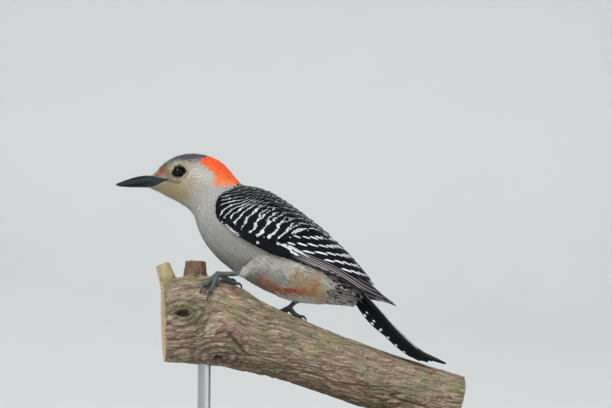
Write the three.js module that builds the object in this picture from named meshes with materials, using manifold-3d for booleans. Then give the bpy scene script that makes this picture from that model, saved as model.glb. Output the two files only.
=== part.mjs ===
// A life-size female red-bellied woodpecker, Melanerpes carolinus, standing on a cut length of a
// sloping limb, as a museum shows a mounted bird: a flat base and two short rods carry the limb.
// Millimetres, +Z up, the bird faces -X and its left side is -Y. The origin is the middle of the
// base's underside. Every sub-part is one closed solid, and neighbours keep GAP between them.
import * as THREE from "three";
import { LoftGeometry } from "three/addons/geometries/LoftGeometry.js";
import { mergeVertices } from "three/addons/utils/BufferGeometryUtils.js";
import Module from "manifold-3d";

const wasm = await Module();
wasm.setup();

const GAP = 0.35; // clearance between neighbouring solids

// ---- Materials ----
const finish = (color, roughness, metalness = 0) =>
  new THREE.MeshStandardMaterial({ color, roughness, metalness });
const MATERIALS = {
  greyPlumage: finish(0xb9b6ab, 0.85),
  barredPlumage: finish(0x24242a, 0.7),
  tailPlumage: finish(0x17171c, 0.6),
  bill: finish(0x2c333c, 0.35),
  eye: finish(0x1a0b08, 0.1),
  legSkin: finish(0x5a6666, 0.6),
  claw: finish(0x26282a, 0.4),
  bark: finish(0x8a7d6a, 0.9),
  standWood: finish(0x5a4636, 0.5),
  standRod: finish(0x8c8c8c, 0.3, 1),
};

// ---- Solids from rows of rings, and their booleans ----
// A ring runs counterclockwise as seen from the end of its row.
const at = (x, y, z) => new THREE.Vector3(x, y, z);
const curveOf = (points) => new THREE.CatmullRomCurve3(points, false, "catmullrom", 0.5);
const loft = (rings) => new LoftGeometry(rings, { capStart: true, capEnd: true });
const cut = (solid, ...tools) => tools.reduce((rest, tool) => rest.subtract(tool), solid);
const join = (solids) => solids.reduce((all, solid) => all.add(solid));
const bothSides = (left) => ({ left, right: left.mirror([0, 1, 0]) });

// The manifold-3d solid of a closed geometry.
function solidOf(geometry) {
  const bare = new THREE.BufferGeometry().setIndex(geometry.index);
  bare.setAttribute("position", geometry.attributes.position);
  const merged = mergeVertices(bare, 1e-4);
  const vertProperties = merged.attributes.position.array;
  const triVerts = new Uint32Array(merged.index.array);
  return new wasm.Manifold(new wasm.Mesh({ numProp: 3, vertProperties, triVerts }));
}

// The geometry of a solid. A cut can leave crumbs, so only its largest body is kept.
function geometryOf(solid) {
  const largest = solid.decompose().sort((a, b) => b.volume() - a.volume())[0];
  const { numProp, numVert, vertProperties, triVerts } = largest.getMesh();
  const positions = new Float32Array(numVert * 3);
  for (let i = 0; i < numVert; i++) {
    positions.set(vertProperties.subarray(i * numProp, i * numProp + 3), i * 3);
  }
  const geometry = new THREE.BufferGeometry();
  geometry.setAttribute("position", new THREE.BufferAttribute(positions, 3));
  geometry.setIndex(new THREE.BufferAttribute(triVerts, 1));
  geometry.computeVertexNormals();
  return geometry;
}

// A ring of points round a centre. It may reach further above the centre than below it.
function ring(centre, across, upward, halfWidth, above, below, count) {
  return Array.from({ length: count }, (_, i) => {
    const angle = (2 * Math.PI * i) / count;
    const rise = Math.sin(angle);
    return centre
      .clone()
      .addScaledVector(across, halfWidth * Math.cos(angle))
      .addScaledVector(upward, rise * (rise > 0 ? above : below));
  });
}

// A round limb, toe or claw along a curve, of radius(t) with t from 0 at its start to 1 at its end.
function tube(curve, radius, steps, count) {
  const { normals, binormals } = curve.computeFrenetFrames(steps, false);
  const rings = Array.from({ length: steps + 1 }, (_, i) => {
    const r = radius(i / steps);
    return ring(curve.getPointAt(i / steps), normals[i], binormals[i], r, r, r, count);
  });
  return solidOf(loft(rings));
}

// ---- The body: one form from the bill's root to the tail's root, parted by two thin cuts ----
// Each section runs from a point of the throat and belly to one of the crown and back, both in the
// plane Y = 0. widest says how far up the section its half width lies.
const BODY_SECTIONS = [
  { place: "bill root", back: [-95.5, 190.8], belly: [-99.1, 183.1], halfWidth: 3.8, widest: 0.5 },
  { place: "lores", back: [-91.6, 196], belly: [-91.8, 180.3], halfWidth: 7.2, widest: 0.5 },
  { place: "forehead", back: [-86.6, 200.1], belly: [-85.4, 177.3], halfWidth: 10.2, widest: 0.52 },
  { place: "eye", back: [-80.2, 203.3], belly: [-79.2, 174.3], halfWidth: 12.4, widest: 0.52 },
  { place: "crown", back: [-71.2, 205], belly: [-73.6, 170.9], halfWidth: 13.6, widest: 0.5 },
  { place: "hind crown", back: [-60.2, 203.4], belly: [-70, 167], halfWidth: 13.8, widest: 0.5 },
  { place: "nape", back: [-51.6, 198.6], belly: [-68.2, 161.8], halfWidth: 13.4, widest: 0.48 },
  { place: "hind neck", back: [-45.6, 191.6], belly: [-66, 155.6], halfWidth: 14.8, widest: 0.46 },
  { place: "shoulders", back: [-38.6, 184.4], belly: [-61.7, 148.3], halfWidth: 18.6, widest: 0.48 },
  { place: "upper back", back: [-27.4, 180.6], belly: [-54.2, 139.8], halfWidth: 21.6, widest: 0.48 },
  { place: "mid back", back: [-14.2, 173.4], belly: [-42.4, 130.8], halfWidth: 22.8, widest: 0.47 },
  { place: "breast", back: [-1.3, 162.2], belly: [-27.4, 121.9], halfWidth: 23, widest: 0.46 },
  { place: "lower back", back: [12.4, 150.8], belly: [-10, 115.4], halfWidth: 21.4, widest: 0.46 },
  { place: "rump", back: [22.4, 140.6], belly: [7.5, 113.2], halfWidth: 17.6, widest: 0.46 },
  { place: "vent", back: [29.4, 131.4], belly: [20.1, 112.6], halfWidth: 12.6, widest: 0.46 },
  { place: "tail root", back: [35.2, 123.6], belly: [29.6, 111.2], halfWidth: 8, widest: 0.5 },
];
const LAST_SECTION = BODY_SECTIONS.length - 1;
const BODY_AROUND = 22;
const THROAT_CUT = 6; // the sections at which the head is parted from the neck,
const SHOULDER_CUT = 8; // and the neck from the trunk
const CUT_SHARE = 0.04; // of the step between two sections, left open on each side of a cut

const backLine = curveOf(BODY_SECTIONS.map(({ back: [x, z] }) => at(x, 0, z)));
const bellyLine = curveOf(BODY_SECTIONS.map(({ belly: [x, z] }) => at(x, 0, z)));
const fullness = curveOf(BODY_SECTIONS.map(({ halfWidth, widest }) => at(halfWidth, widest, 0)));

function bodyRing(section, grown = 0, shift = 0) {
  const t = section / LAST_SECTION;
  const back = backLine.getPoint(t);
  const belly = bellyLine.getPoint(t);
  const { x: halfWidth, y: widest } = fullness.getPoint(t);
  const upward = back.clone().sub(belly);
  const depth = upward.length();
  upward.normalize();
  const tailward = at(upward.z, 0, -upward.x);
  const centre = belly.lerp(back, widest).addScaledVector(tailward, shift);
  const above = (1 - widest) * depth + grown;
  const below = widest * depth + grown;
  return ring(centre, at(0, 1, 0), upward, halfWidth + grown, above, below, BODY_AROUND);
}

function bodyLength(from, to, steps) {
  const section = (i) => from + ((to - from) * i) / steps;
  return solidOf(loft(Array.from({ length: steps + 1 }, (_, i) => bodyRing(section(i)))));
}

// The whole body grown by the gap, which cuts whatever lies against it.
function bodyAndGap() {
  const steps = 2 * LAST_SECTION;
  const rings = Array.from({ length: steps + 1 }, (_, i) => bodyRing(i / 2, GAP));
  return solidOf(loft([bodyRing(0, GAP, -GAP), ...rings, bodyRing(LAST_SECTION, GAP, GAP)]));
}

const bodyClearance = bodyAndGap();

// ---- The eyes, in sockets of the head ----
const EYE_RADIUS = 4.1;
const EYE_PLACE = [-80.3, -8.9, 191.4];

const eyeball = (radius) =>
  solidOf(new THREE.SphereGeometry(radius, 14, 10).translate(...EYE_PLACE));

// ---- The bill: two mandibles that meet along the gape ----
const BILL_SECTIONS = [
  { x: -118.3, ridge: 184.7, gape: 184.1, keel: 183.5, halfWidth: 0.5 },
  { x: -115, ridge: 186.1, gape: 184.3, keel: 182.9, halfWidth: 1.3 },
  { x: -110, ridge: 188.1, gape: 184.7, keel: 182.7, halfWidth: 2.3 },
  { x: -105, ridge: 189.7, gape: 185.3, keel: 182.7, halfWidth: 3.1 },
  { x: -99.6, ridge: 190.6, gape: 186.2, keel: 182.9, halfWidth: 3.9 },
  { x: -92, ridge: 191, gape: 187.6, keel: 183.4, halfWidth: 4.6 },
];
const BILL_AROUND = 9; // points from one edge of a mandible over its ridge to the other

// Half an ellipse on the gape at each section, from there to the section's ridge or its keel.
function mandible(edge) {
  const rings = BILL_SECTIONS.map((section) => {
    const rise = section[edge] - section.gape;
    const way = Math.sign(rise);
    return Array.from({ length: BILL_AROUND }, (_, i) => {
      const angle = (Math.PI * i) / (BILL_AROUND - 1);
      const height = (way * GAP) / 2 + rise * Math.sin(angle);
      return at(section.x, way * section.halfWidth * Math.cos(angle), section.gape + height);
    });
  });
  return cut(solidOf(loft(rings)), bodyClearance);
}

// ---- The folded wings ----
// Sections of the left wing from the wrist to the tip, each from the lower edge to the upper one.
// bow is how far the section bulges off the straight line between them, and depth its thickness.
const WING_SECTIONS = [
  { low: [-58, -17, 169], high: [-56, -15, 175], bow: 1, depth: 3 },
  { low: [-55.5, -20, 162], high: [-51, -12.8, 181], bow: 3.5, depth: 5 },
  { low: [-48, -23, 154], high: [-41.2, -8.5, 183.8], bow: 6.5, depth: 6 },
  { low: [-37.1, -25, 147.6], high: [-29, -6, 182.9], bow: 8.8, depth: 6 },
  { low: [-20.7, -25.5, 139.3], high: [-12.9, -4, 176], bow: 9.6, depth: 6 },
  { low: [-5.3, -25, 134.5], high: [4.1, -1.6, 164.8], bow: 9, depth: 5.5 },
  { low: [10.3, -23, 129.8], high: [18.4, -1, 152.9], bow: 7, depth: 5 },
  { low: [24.4, -19.5, 123.1], high: [30.4, -1, 141.8], bow: 4.6, depth: 3.5 },
  { low: [34.8, -16.5, 117.7], high: [39.2, -3, 130.7], bow: 2, depth: 2.2 },
  { low: [45.3, -13.5, 113.4], high: [48, -7, 119.6], bow: 0.8, depth: 1.5 },
  { low: [56.5, -10.8, 110], high: [56.8, -10.2, 111], bow: 0.1, depth: 0.8 },
];
const WING_EDGE = 0.8; // thickness at the edges
const WING_STEPS = 18;
const WING_ACROSS = 7; // points from the lower edge to the upper one, on each face

const wingLow = curveOf(WING_SECTIONS.map(({ low }) => at(...low)));
const wingHigh = curveOf(WING_SECTIONS.map(({ high }) => at(...high)));
const wingForm = curveOf(WING_SECTIONS.map(({ bow, depth }) => at(bow, depth, 0)));
const WING_AXIS = at(...WING_SECTIONS.at(-1).low).sub(at(...WING_SECTIONS[0].low)).normalize();

function wingRing(t) {
  const low = wingLow.getPoint(t);
  const high = wingHigh.getPoint(t);
  const { x: bow, y: depth } = wingForm.getPoint(t);
  const outward = WING_AXIS.clone().cross(high.clone().sub(low)).normalize();
  const face = (inset) =>
    Array.from({ length: WING_ACROSS }, (_, i) => {
      const share = i / (WING_ACROSS - 1);
      const bulge = Math.sin(Math.PI * share);
      const thickness = inset * (WING_EDGE + (depth - WING_EDGE) * bulge);
      return low.clone().lerp(high, share).addScaledVector(outward, bow * bulge - thickness);
    });
  return [...face(1), ...face(0).reverse()];
}

function leftWing() {
  const rings = Array.from({ length: WING_STEPS + 1 }, (_, i) => wingRing(i / WING_STEPS));
  return cut(solidOf(loft(rings)), bodyClearance);
}

// ---- The tail: a stiff arched fan, widest past its middle, with a stepped wedge of tips ----
const TAIL_LINE = curveOf([
  at(20, 0, 126.5),
  at(28.9, 0, 119.4),
  at(37, 0, 112),
  at(50.8, 0, 98.3),
  at(67.4, 0, 85.7),
  at(83.6, 0, 77),
]);
const TAIL_STEPS = 14;
const TAIL_HALF_WIDTH = 16;
const TAIL_THICKNESS = 2.6;
const TAIL_ARCH = 0.08; // drop of an edge below the middle, as a share of the half width
const TAIL_TWIST = THREE.MathUtils.degToRad(8); // at the tip, with the left edge the higher one
const TAIL_ACROSS = 9;

function tailHalfWidth(t) {
  const opening = 0.5 + 0.5 * Math.min(1, t / 0.45);
  const wedge = t < 0.72 ? 1 : 1 - 0.8 * ((t - 0.72) / 0.28) ** 1.3;
  return TAIL_HALF_WIDTH * opening * wedge;
}

function tail() {
  const rings = Array.from({ length: TAIL_STEPS + 1 }, (_, i) => {
    const t = i / TAIL_STEPS;
    const middle = TAIL_LINE.getPointAt(t);
    const { x, z } = TAIL_LINE.getTangentAt(t);
    const twist = TAIL_TWIST * Math.min(1, 2 * t);
    const upward = at(-z, 0, x).applyAxisAngle(at(x, 0, z), -twist);
    const sideways = at(0, 1, 0).applyAxisAngle(at(x, 0, z), -twist);
    const halfWidth = tailHalfWidth(t);
    const thickness = TAIL_THICKNESS * (1 - 0.55 * t);
    const face = (lift) =>
      Array.from({ length: TAIL_ACROSS }, (_, j) => {
        const across = (2 * j) / (TAIL_ACROSS - 1) - 1;
        const drop = TAIL_ARCH * halfWidth * across ** 2;
        const edge = 1 - 0.45 * across ** 2;
        return middle
          .clone()
          .addScaledVector(upward, lift * thickness * edge - drop)
          .addScaledVector(sideways, halfWidth * across);
      });
    return [...face(-0.5), ...face(0.5).reverse()];
  });
  return cut(solidOf(loft(rings)), bodyClearance);
}

// ---- The limb: a cut length of a branch with a knot where it bends and two broken stubs ----
const LIMB_SECTIONS = [
  { place: [-88, 3, 101], radius: 25 },
  { place: [-66, 2, 102], radius: 27.5 },
  { place: [-50, 2, 98.4], radius: 25.6 },
  { place: [-34.5, 2, 92.6], radius: 22.4 },
  { place: [-3.5, 4, 82.6], radius: 19.4 },
  { place: [46.6, 6, 65.3], radius: 18.6 },
  { place: [96, 8, 51], radius: 18.4 },
];
const LIMB_STEPS = 22;
const LIMB_AROUND = 20;
const STUBS = [
  { name: "broken knot", from: [-69, 2, 118], to: [-68.6, 1, 138.5], base: 10, end: 6.4 },
  { name: "twig", from: [-82, 2, 116], to: [-89, 1, 136], base: 8, end: 4.4 },
];

const limbLine = curveOf(LIMB_SECTIONS.map(({ place }) => at(...place)));
const limbRadii = curveOf(LIMB_SECTIONS.map(({ radius }) => at(radius, 0, 0)));

// A point of the limb: t along its line, angle round it from the top, 90 degrees being the left
// side, and height above its bark.
function onLimb(t, degrees, height) {
  const { x, z } = limbLine.getTangent(t);
  const angle = THREE.MathUtils.degToRad(degrees);
  const reach = limbRadii.getPoint(t).x + height;
  return limbLine
    .getPoint(t)
    .addScaledVector(at(-z, 0, x).normalize(), reach * Math.cos(angle))
    .addScaledVector(at(0, -1, 0), reach * Math.sin(angle));
}

function limb(grown = 0) {
  const rings = Array.from({ length: LIMB_STEPS + 1 }, (_, i) =>
    Array.from({ length: LIMB_AROUND }, (_, j) =>
      onLimb(i / LIMB_STEPS, (360 * j) / LIMB_AROUND, grown),
    ),
  );
  const stubs = STUBS.map(({ from, to, base, end }) => {
    const line = new THREE.LineCurve3(at(...from), at(...to));
    return tube(line, (t) => base + (end - base) * Math.sqrt(t) + grown, 4, 12);
  });
  return join([solidOf(loft(rings)), ...stubs]);
}

const limbClearance = limb(GAP);

// ---- The legs ----
// A thigh leaves the body inside its coat, a shank runs from the heel to the foot, and the foot
// stands on the limb with two toes ahead and two behind, each with a claw. A toe's steps are
// [shift along the limb in mm, degrees round it] from the foot, and its last step is its tip.
const LEGS = {
  left: {
    hip: [-24, -15, 141],
    heel: [-41, -17.5, 128.6],
    foot: { x: -61, degrees: 31, height: 4.6 },
    toes: {
      hallux: [[2.5, -9], [6, -17]],
      inner: [[-2.6, 9], [-4.6, 19]],
      middle: [[-0.9, 13], [-2.2, 28]],
      outer: [[4.6, -5], [9, -10]],
    },
  },
  right: {
    hip: [5, 13, 126],
    heel: [-3, 16.5, 117],
    foot: { x: -17, degrees: -12, height: 4.6 },
    toes: {
      hallux: [[4, 4], [7, 9]],
      inner: [[-3.5, -8], [-6.5, -17]],
      middle: [[-1.8, -14], [-4, -30]],
      outer: [[6, -5], [11, -9]],
    },
  },
};
const LEG_AROUND = 8;
const THIGH_RADII = { hip: 8.5, heel: 2.6 };
const SHANK_RADIUS = 1.35;
const JOINT_SWELL = 0.75; // added at the shank's two ends
const BALL_RADIUS = 1.9; // of the foot, where its toes meet
const TOE_RADII = { root: 1.55, tip: 1.05 };
const CLAW = { radius: 0.95, tip: 0.28, reach: 5.4, arch: 2.3 };

// Where along the limb's line its X is reached.
function limbShare(x) {
  let low = 0;
  let high = 1;
  for (let i = 0; i < 30; i++) {
    const middle = (low + high) / 2;
    if (limbLine.getPoint(middle).x < x) low = middle;
    else high = middle;
  }
  return low;
}

const footPoint = (foot, shift, degrees, height) =>
  onLimb(limbShare(foot.x + shift), foot.degrees + degrees, height);

function thigh({ hip, heel }, grown = 0) {
  const from = at(...hip);
  const to = at(...heel);
  to.addScaledVector(to.clone().sub(from).normalize(), grown);
  const narrowing = THIGH_RADII.heel - THIGH_RADII.hip;
  const radius = (t) => THIGH_RADII.hip + narrowing * t ** 0.8 + grown;
  return tube(new THREE.LineCurve3(from, to), radius, 6, 12);
}

function toe(foot, [middle, tip], grown) {
  const root = TOE_RADII.root + GAP;
  const line = curveOf([
    footPoint(foot, 0, 0, foot.height),
    footPoint(foot, 0.4 * middle[0], 0.4 * middle[1], root + 2),
    footPoint(foot, ...middle, root + 0.3),
    footPoint(foot, ...tip, TOE_RADII.tip + GAP + 0.1),
  ]);
  const radius = (t) => TOE_RADII.root + (TOE_RADII.tip - TOE_RADII.root) * t + grown;
  return tube(line, radius, 6, LEG_AROUND);
}

function footForm({ foot, toes }, grown = 0) {
  const ankle = footPoint(foot, 0, 0, foot.height);
  const ball = new THREE.SphereGeometry(BALL_RADIUS + grown, 8, 6).translate(...ankle.toArray());
  return join([solidOf(ball), ...Object.values(toes).map((steps) => toe(foot, steps, grown))]);
}

function shank(leg) {
  const from = at(...leg.heel);
  const to = footPoint(leg.foot, 0, 0, leg.foot.height);
  const radius = (t) => SHANK_RADIUS + JOINT_SWELL * (2 * t - 1) ** 6;
  const solid = tube(new THREE.LineCurve3(from, to), radius, 8, LEG_AROUND);
  return cut(solid, bodyClearance, thigh(leg, GAP), footForm(leg, GAP));
}

// A hooked claw that arches from the toe's tip down to the bark.
function claw(foot, [middle, tip]) {
  const last = footPoint(foot, ...tip, CLAW.radius);
  const before = footPoint(foot, ...middle, CLAW.radius);
  const heading = last.clone().sub(before).normalize();
  const lift = footPoint(foot, ...tip, CLAW.radius + 1).sub(last);
  const place = (reach, height) =>
    last.clone().addScaledVector(heading, reach).addScaledVector(lift, height);
  const line = curveOf([
    place(GAP + 0.1, GAP + 0.2),
    place(0.4 * CLAW.reach, 0.55 * CLAW.arch),
    place(0.8 * CLAW.reach, 0.1 * CLAW.arch),
    place(CLAW.reach, -CLAW.arch),
  ]);
  const radius = (t) => CLAW.radius + (CLAW.tip - CLAW.radius) * t;
  return cut(tube(line, radius, 5, 6), limbClearance);
}

// ---- The display stand: a flat base and two rods up to the limb ----
const BASE = { length: 168, width: 118, thickness: 12, corner: 14, bevel: 1.5 };
const ROD = { radius: 4, around: 20, shares: { front: 0.2, rear: 0.82 } };

function standBase() {
  const { length, width, thickness, corner, bevel } = BASE;
  const halfLength = length / 2 - bevel;
  const halfWidth = width / 2 - bevel;
  const outline = new THREE.Shape();
  outline.moveTo(halfLength - corner, -halfWidth);
  outline.absarc(halfLength - corner, -halfWidth + corner, corner, -Math.PI / 2, 0, false);
  outline.absarc(halfLength - corner, halfWidth - corner, corner, 0, Math.PI / 2, false);
  outline.absarc(-halfLength + corner, halfWidth - corner, corner, Math.PI / 2, Math.PI, false);
  outline.absarc(-halfLength + corner, -halfWidth + corner, corner, Math.PI, 1.5 * Math.PI, false);
  outline.closePath();
  const plate = new THREE.ExtrudeGeometry(outline, {
    depth: thickness - 2 * bevel,
    bevelThickness: bevel,
    bevelSize: bevel,
    bevelSegments: 2,
    curveSegments: 5,
  });
  return solidOf(plate.translate(0, 0, bevel));
}

function standRod(share) {
  const { x, y, z } = limbLine.getPoint(share);
  const foot = BASE.thickness + GAP;
  const rod = new THREE.CylinderGeometry(ROD.radius, ROD.radius, z - foot, ROD.around);
  rod.rotateX(Math.PI / 2).translate(x, y, (z + foot) / 2);
  return cut(solidOf(rod), limbClearance);
}

// ---- The model ----
const woodpecker = new THREE.Group();

function add(name, solid, material) {
  const mesh = new THREE.Mesh(geometryOf(solid), material);
  mesh.name = name;
  woodpecker.add(mesh);
}

const sockets = Object.values(bothSides(eyeball(EYE_RADIUS + GAP)));
add("head", cut(bodyLength(0, THROAT_CUT - CUT_SHARE, 12), ...sockets), MATERIALS.greyPlumage);
add("neck", bodyLength(THROAT_CUT + CUT_SHARE, SHOULDER_CUT - CUT_SHARE, 4), MATERIALS.greyPlumage);
add("trunk", bodyLength(SHOULDER_CUT + CUT_SHARE, LAST_SECTION, 14), MATERIALS.greyPlumage);
add("bill_upper", mandible("ridge"), MATERIALS.bill);
add("bill_lower", mandible("keel"), MATERIALS.bill);
add("tail", tail(), MATERIALS.tailPlumage);
const eyes = bothSides(eyeball(EYE_RADIUS));
const wings = bothSides(leftWing());
for (const [name, leg] of Object.entries(LEGS)) {
  add(`eye_${name}`, eyes[name], MATERIALS.eye);
  add(`wing_${name}`, wings[name], MATERIALS.barredPlumage);
  add(`thigh_${name}`, cut(thigh(leg), bodyClearance), MATERIALS.greyPlumage);
  add(`shank_${name}`, shank(leg), MATERIALS.legSkin);
  add(`foot_${name}`, cut(footForm(leg), limbClearance), MATERIALS.legSkin);
  for (const [toeName, steps] of Object.entries(leg.toes)) {
    add(`claw_${toeName}_${name}`, claw(leg.foot, steps), MATERIALS.claw);
  }
}
add("perch_limb", limb(), MATERIALS.bark);
add("stand_base", standBase(), MATERIALS.standWood);
for (const [name, share] of Object.entries(ROD.shares)) {
  add(`stand_rod_${name}`, standRod(share), MATERIALS.standRod);
}

export default woodpecker;
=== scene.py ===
import math

import bmesh
import bpy
import numpy as np
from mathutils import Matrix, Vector, noise
from mathutils.bvhtree import BVHTree


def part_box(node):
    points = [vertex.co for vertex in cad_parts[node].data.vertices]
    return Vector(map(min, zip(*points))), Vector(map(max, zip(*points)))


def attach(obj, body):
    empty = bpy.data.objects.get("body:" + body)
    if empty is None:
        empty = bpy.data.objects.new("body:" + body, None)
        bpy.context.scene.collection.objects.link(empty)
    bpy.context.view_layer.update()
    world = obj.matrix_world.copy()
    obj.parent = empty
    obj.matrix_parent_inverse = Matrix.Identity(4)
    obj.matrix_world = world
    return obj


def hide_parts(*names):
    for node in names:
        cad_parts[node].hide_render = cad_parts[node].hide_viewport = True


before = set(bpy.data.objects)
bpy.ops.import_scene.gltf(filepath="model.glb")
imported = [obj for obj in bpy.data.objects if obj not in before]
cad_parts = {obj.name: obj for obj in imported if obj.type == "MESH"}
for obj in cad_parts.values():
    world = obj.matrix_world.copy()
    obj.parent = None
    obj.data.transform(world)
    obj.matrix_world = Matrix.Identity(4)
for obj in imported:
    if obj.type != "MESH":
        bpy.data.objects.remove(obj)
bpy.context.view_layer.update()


# ---- Camera, floor and light ----
# The mount stands in the middle of a round pale studio floor whose rim curves up into a wall. Three
# soft boxes and a pale sky light it, and a fourth box the wall. The camera is low, on its left side.
MM = 0.001
CAMERA_PLACE = (-0.13746, -0.97808, 0.01857)
CAMERA_TARGET = (0, 0, 0.175)
LENS = 94.1


def colour(red, green, blue):
    """A colour as it looks, from 0 to 255 for each part, as the linear light that nodes work in."""
    parts = np.array([red, green, blue]) / 255
    linear = np.where(parts > 0.04045, ((parts + 0.055) / 1.055) ** 2.4, parts / 12.92)
    return (*(float(part) for part in linear), 1)


class Wire:
    """A value in a finish or a pattern. Arithmetic on it adds the Math nodes."""

    def __init__(self, owner, socket):
        self.owner = owner
        self.socket = socket

    def __add__(self, other):
        return self.owner.maths("ADD", self, other)

    __radd__ = __add__

    def __sub__(self, other):
        return self.owner.maths("SUBTRACT", self, other)

    def __rsub__(self, other):
        return self.owner.maths("SUBTRACT", other, self)

    def __mul__(self, other):
        return self.owner.maths("MULTIPLY", self, other)

    __rmul__ = __mul__

    def __truediv__(self, other):
        return self.owner.maths("DIVIDE", self, other)

    def __pow__(self, power):
        return self.owner.maths("POWER", self, power)


class Finish:
    """A material, with the nodes that paint it joined up as its values are worked out."""

    def __init__(self, name, constants):
        self.material = bpy.data.materials.new(name)
        self.material.use_nodes = True
        self.nodes = self.material.node_tree.nodes
        self.links = self.material.node_tree.links
        self.shader = self.nodes["Principled BSDF"]
        for socket, value in constants.items():
            self.shader.inputs[socket].default_value = value

    def node(self, kind, settings, inputs, output=0):
        made = self.nodes.new("ShaderNode" + kind)
        stops = settings.pop("stops", ())
        for setting, value in settings.items():
            setattr(made, setting, value)
        for extra in stops[2:]:
            made.color_ramp.elements.new(extra[0])
        for element, (place, shade) in zip(made.color_ramp.elements if stops else (), stops):
            element.position = place
            element.color = shade
        for socket, value in inputs.items():
            if isinstance(value, Wire):
                self.links.new(value.socket, made.inputs[socket])
            else:
                made.inputs[socket].default_value = value
        return Wire(self, made.outputs[output])

    def maths(self, operation, *values):
        return self.node("Math", {"operation": operation}, dict(enumerate(values)))

    def clamped(self, value, low, high):
        return self.maths("MINIMUM", self.maths("MAXIMUM", value, low), high)

    def attribute(self, name, output="Fac"):
        return self.node("Attribute", {"attribute_name": name}, {}, output)

    def place(self):
        """Where the shaded point is, in millimetres."""
        metres = self.node("TexCoord", {}, {}, "Object")
        return self.node("VectorMath", {"operation": "SCALE"}, {0: metres, "Scale": 1000})

    def parts(self, vector):
        """The three parts of a vector."""
        first = self.node("SeparateXYZ", {}, {0: vector})
        return [Wire(self, first.socket.node.outputs[part]) for part in range(3)]

    def stretched(self, vector, turn, size):
        """The vector turned and then scaled, for grain that runs one way."""
        return self.node("Mapping", {}, {"Vector": vector, "Rotation": turn, "Scale": size})

    def cloud(self, vector, scale, detail=2, output="Fac"):
        """Noise, about 0.5 on average."""
        inputs = {"Vector": vector, "Scale": scale, "Detail": detail}
        return self.node("TexNoise", {}, inputs, output)

    def rise(self, value, low, high):
        """0 below low, 1 above high, and a smooth step between them."""
        inputs = {0: value, 1: low, 2: high}
        return self.node("MapRange", {"interpolation_type": "SMOOTHSTEP"}, inputs)

    def blend(self, share, *ends):
        """From one colour to another. Either may be painted already, or given from 0 to 255."""
        start, end = (colour(*tone) if isinstance(tone, tuple) else tone for tone in ends)
        return self.node("Mix", {"data_type": "RGBA"}, {0: share, 6: start, 7: end}, 2)

    def ramp(self, value, tones):
        """A colour read from a list of tones, each with its place, by a value from 0 to 1."""
        stops = [(place, colour(*tone)) for place, tone in tones]
        return self.node("ValToRGB", {"stops": stops}, {0: value}, "Color")

    def shaded(self, tone, paint):
        """The paint made lighter or darker by a factor."""
        return self.node("VectorMath", {"operation": "SCALE"}, {0: paint, "Scale": tone})

    def finished(self, paint, height=None, depth=1, roughness=None):
        """Joins the paint, and the relief whose full height is depth in millimetres, to the shader."""
        self.links.new(paint.socket, self.shader.inputs["Base Color"])
        if height is not None:
            inputs = {"Height": height, "Distance": depth * MM, "Strength": 1}
            relief = self.node("Bump", {}, inputs)
            self.links.new(relief.socket, self.shader.inputs["Normal"])
        if roughness is not None:
            self.links.new(roughness.socket, self.shader.inputs["Roughness"])
        return self.material


def placed(name, data):
    """An object in the scene, made of some data."""
    made = bpy.data.objects.new(name, data)
    bpy.context.scene.collection.objects.link(made)
    return made


def mesh_object(name, points, faces, material, attributes=(), smooth=True):
    """A mesh object from points in millimetres, faces of one size, and (name, values) on its points."""
    faces = np.asarray(faces, np.int32)
    mesh = bpy.data.meshes.new(name)
    mesh.vertices.add(len(points))
    mesh.vertices.foreach_set("co", (np.asarray(points, np.float32) * MM).ravel())
    mesh.loops.add(faces.size)
    mesh.loops.foreach_set("vertex_index", faces.ravel())
    mesh.polygons.add(len(faces))
    mesh.polygons.foreach_set("loop_start", np.arange(0, faces.size, faces.shape[1]))
    mesh.polygons.foreach_set("use_smooth", np.full(len(faces), smooth))
    mesh.update(calc_edges=True)
    for attribute, values in attributes:
        values = np.asarray(values, np.float32)
        kind, field = ("FLOAT_VECTOR", "vector") if values.ndim == 2 else ("FLOAT", "value")
        mesh.attributes.new(attribute, kind, "POINT").data.foreach_set(field, values.ravel())
    if material is not None:
        mesh.materials.append(material)
    return placed(name, mesh)


def grid_faces(rows, columns, closed=False):
    """The quads between the points of a grid, whose last column may join its first."""
    row = np.arange(rows - 1)[:, None] * columns
    column = np.arange(columns if closed else columns - 1)[None, :]
    after = (column + 1) % columns
    corners = [row + column, row + after, row + columns + after, row + columns + column]
    return np.stack(corners, -1).reshape(-1, 4)


def aimed(thing, place, target):
    """Puts a camera or a light in its place, turned to its target."""
    thing.location = place
    thing.rotation_mode = "QUATERNION"
    thing.rotation_quaternion = (Vector(target) - Vector(place)).to_track_quat("-Z", "Y")


camera = placed("camera", bpy.data.cameras.new("camera"))
camera.data.lens = LENS
camera.data.clip_start = 0.01
aimed(camera, CAMERA_PLACE, CAMERA_TARGET)
bpy.context.scene.camera = camera
bpy.context.scene.view_settings.view_transform = "Standard"

FLOOR_RADIUS = 2600
RIM_RADIUS = 900
RIM_HEIGHT = 1700

bend = np.linspace(0, math.pi / 2, 14)
rim_reach = [0.001, 1, *(FLOOR_RADIUS + RIM_RADIUS * np.sin(bend)), FLOOR_RADIUS + RIM_RADIUS]
rim_rise = [0, 0, *(RIM_RADIUS * (1 - np.cos(bend))), RIM_HEIGHT]
turns = np.linspace(0, 2 * math.pi, 97)[:-1]
rims = [np.outer(rim_reach, np.cos(turns)), np.outer(rim_reach, np.sin(turns)), np.outer(rim_rise, turns**0)]
floor_finish = Finish("studio_floor", {"Roughness": 0.9, "Specular IOR Level": 0.1})
floor_cloud = floor_finish.cloud(floor_finish.place(), 0.004)
floor_paint = floor_finish.blend(floor_cloud, (226, 228, 227), (232, 233, 232))
floor_faces = grid_faces(len(rim_reach), len(turns), closed=True)
floor_points = np.stack(rims, -1).reshape(-1, 3)
floor = mesh_object("floor", floor_points, floor_faces, floor_finish.finished(floor_paint))

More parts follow.
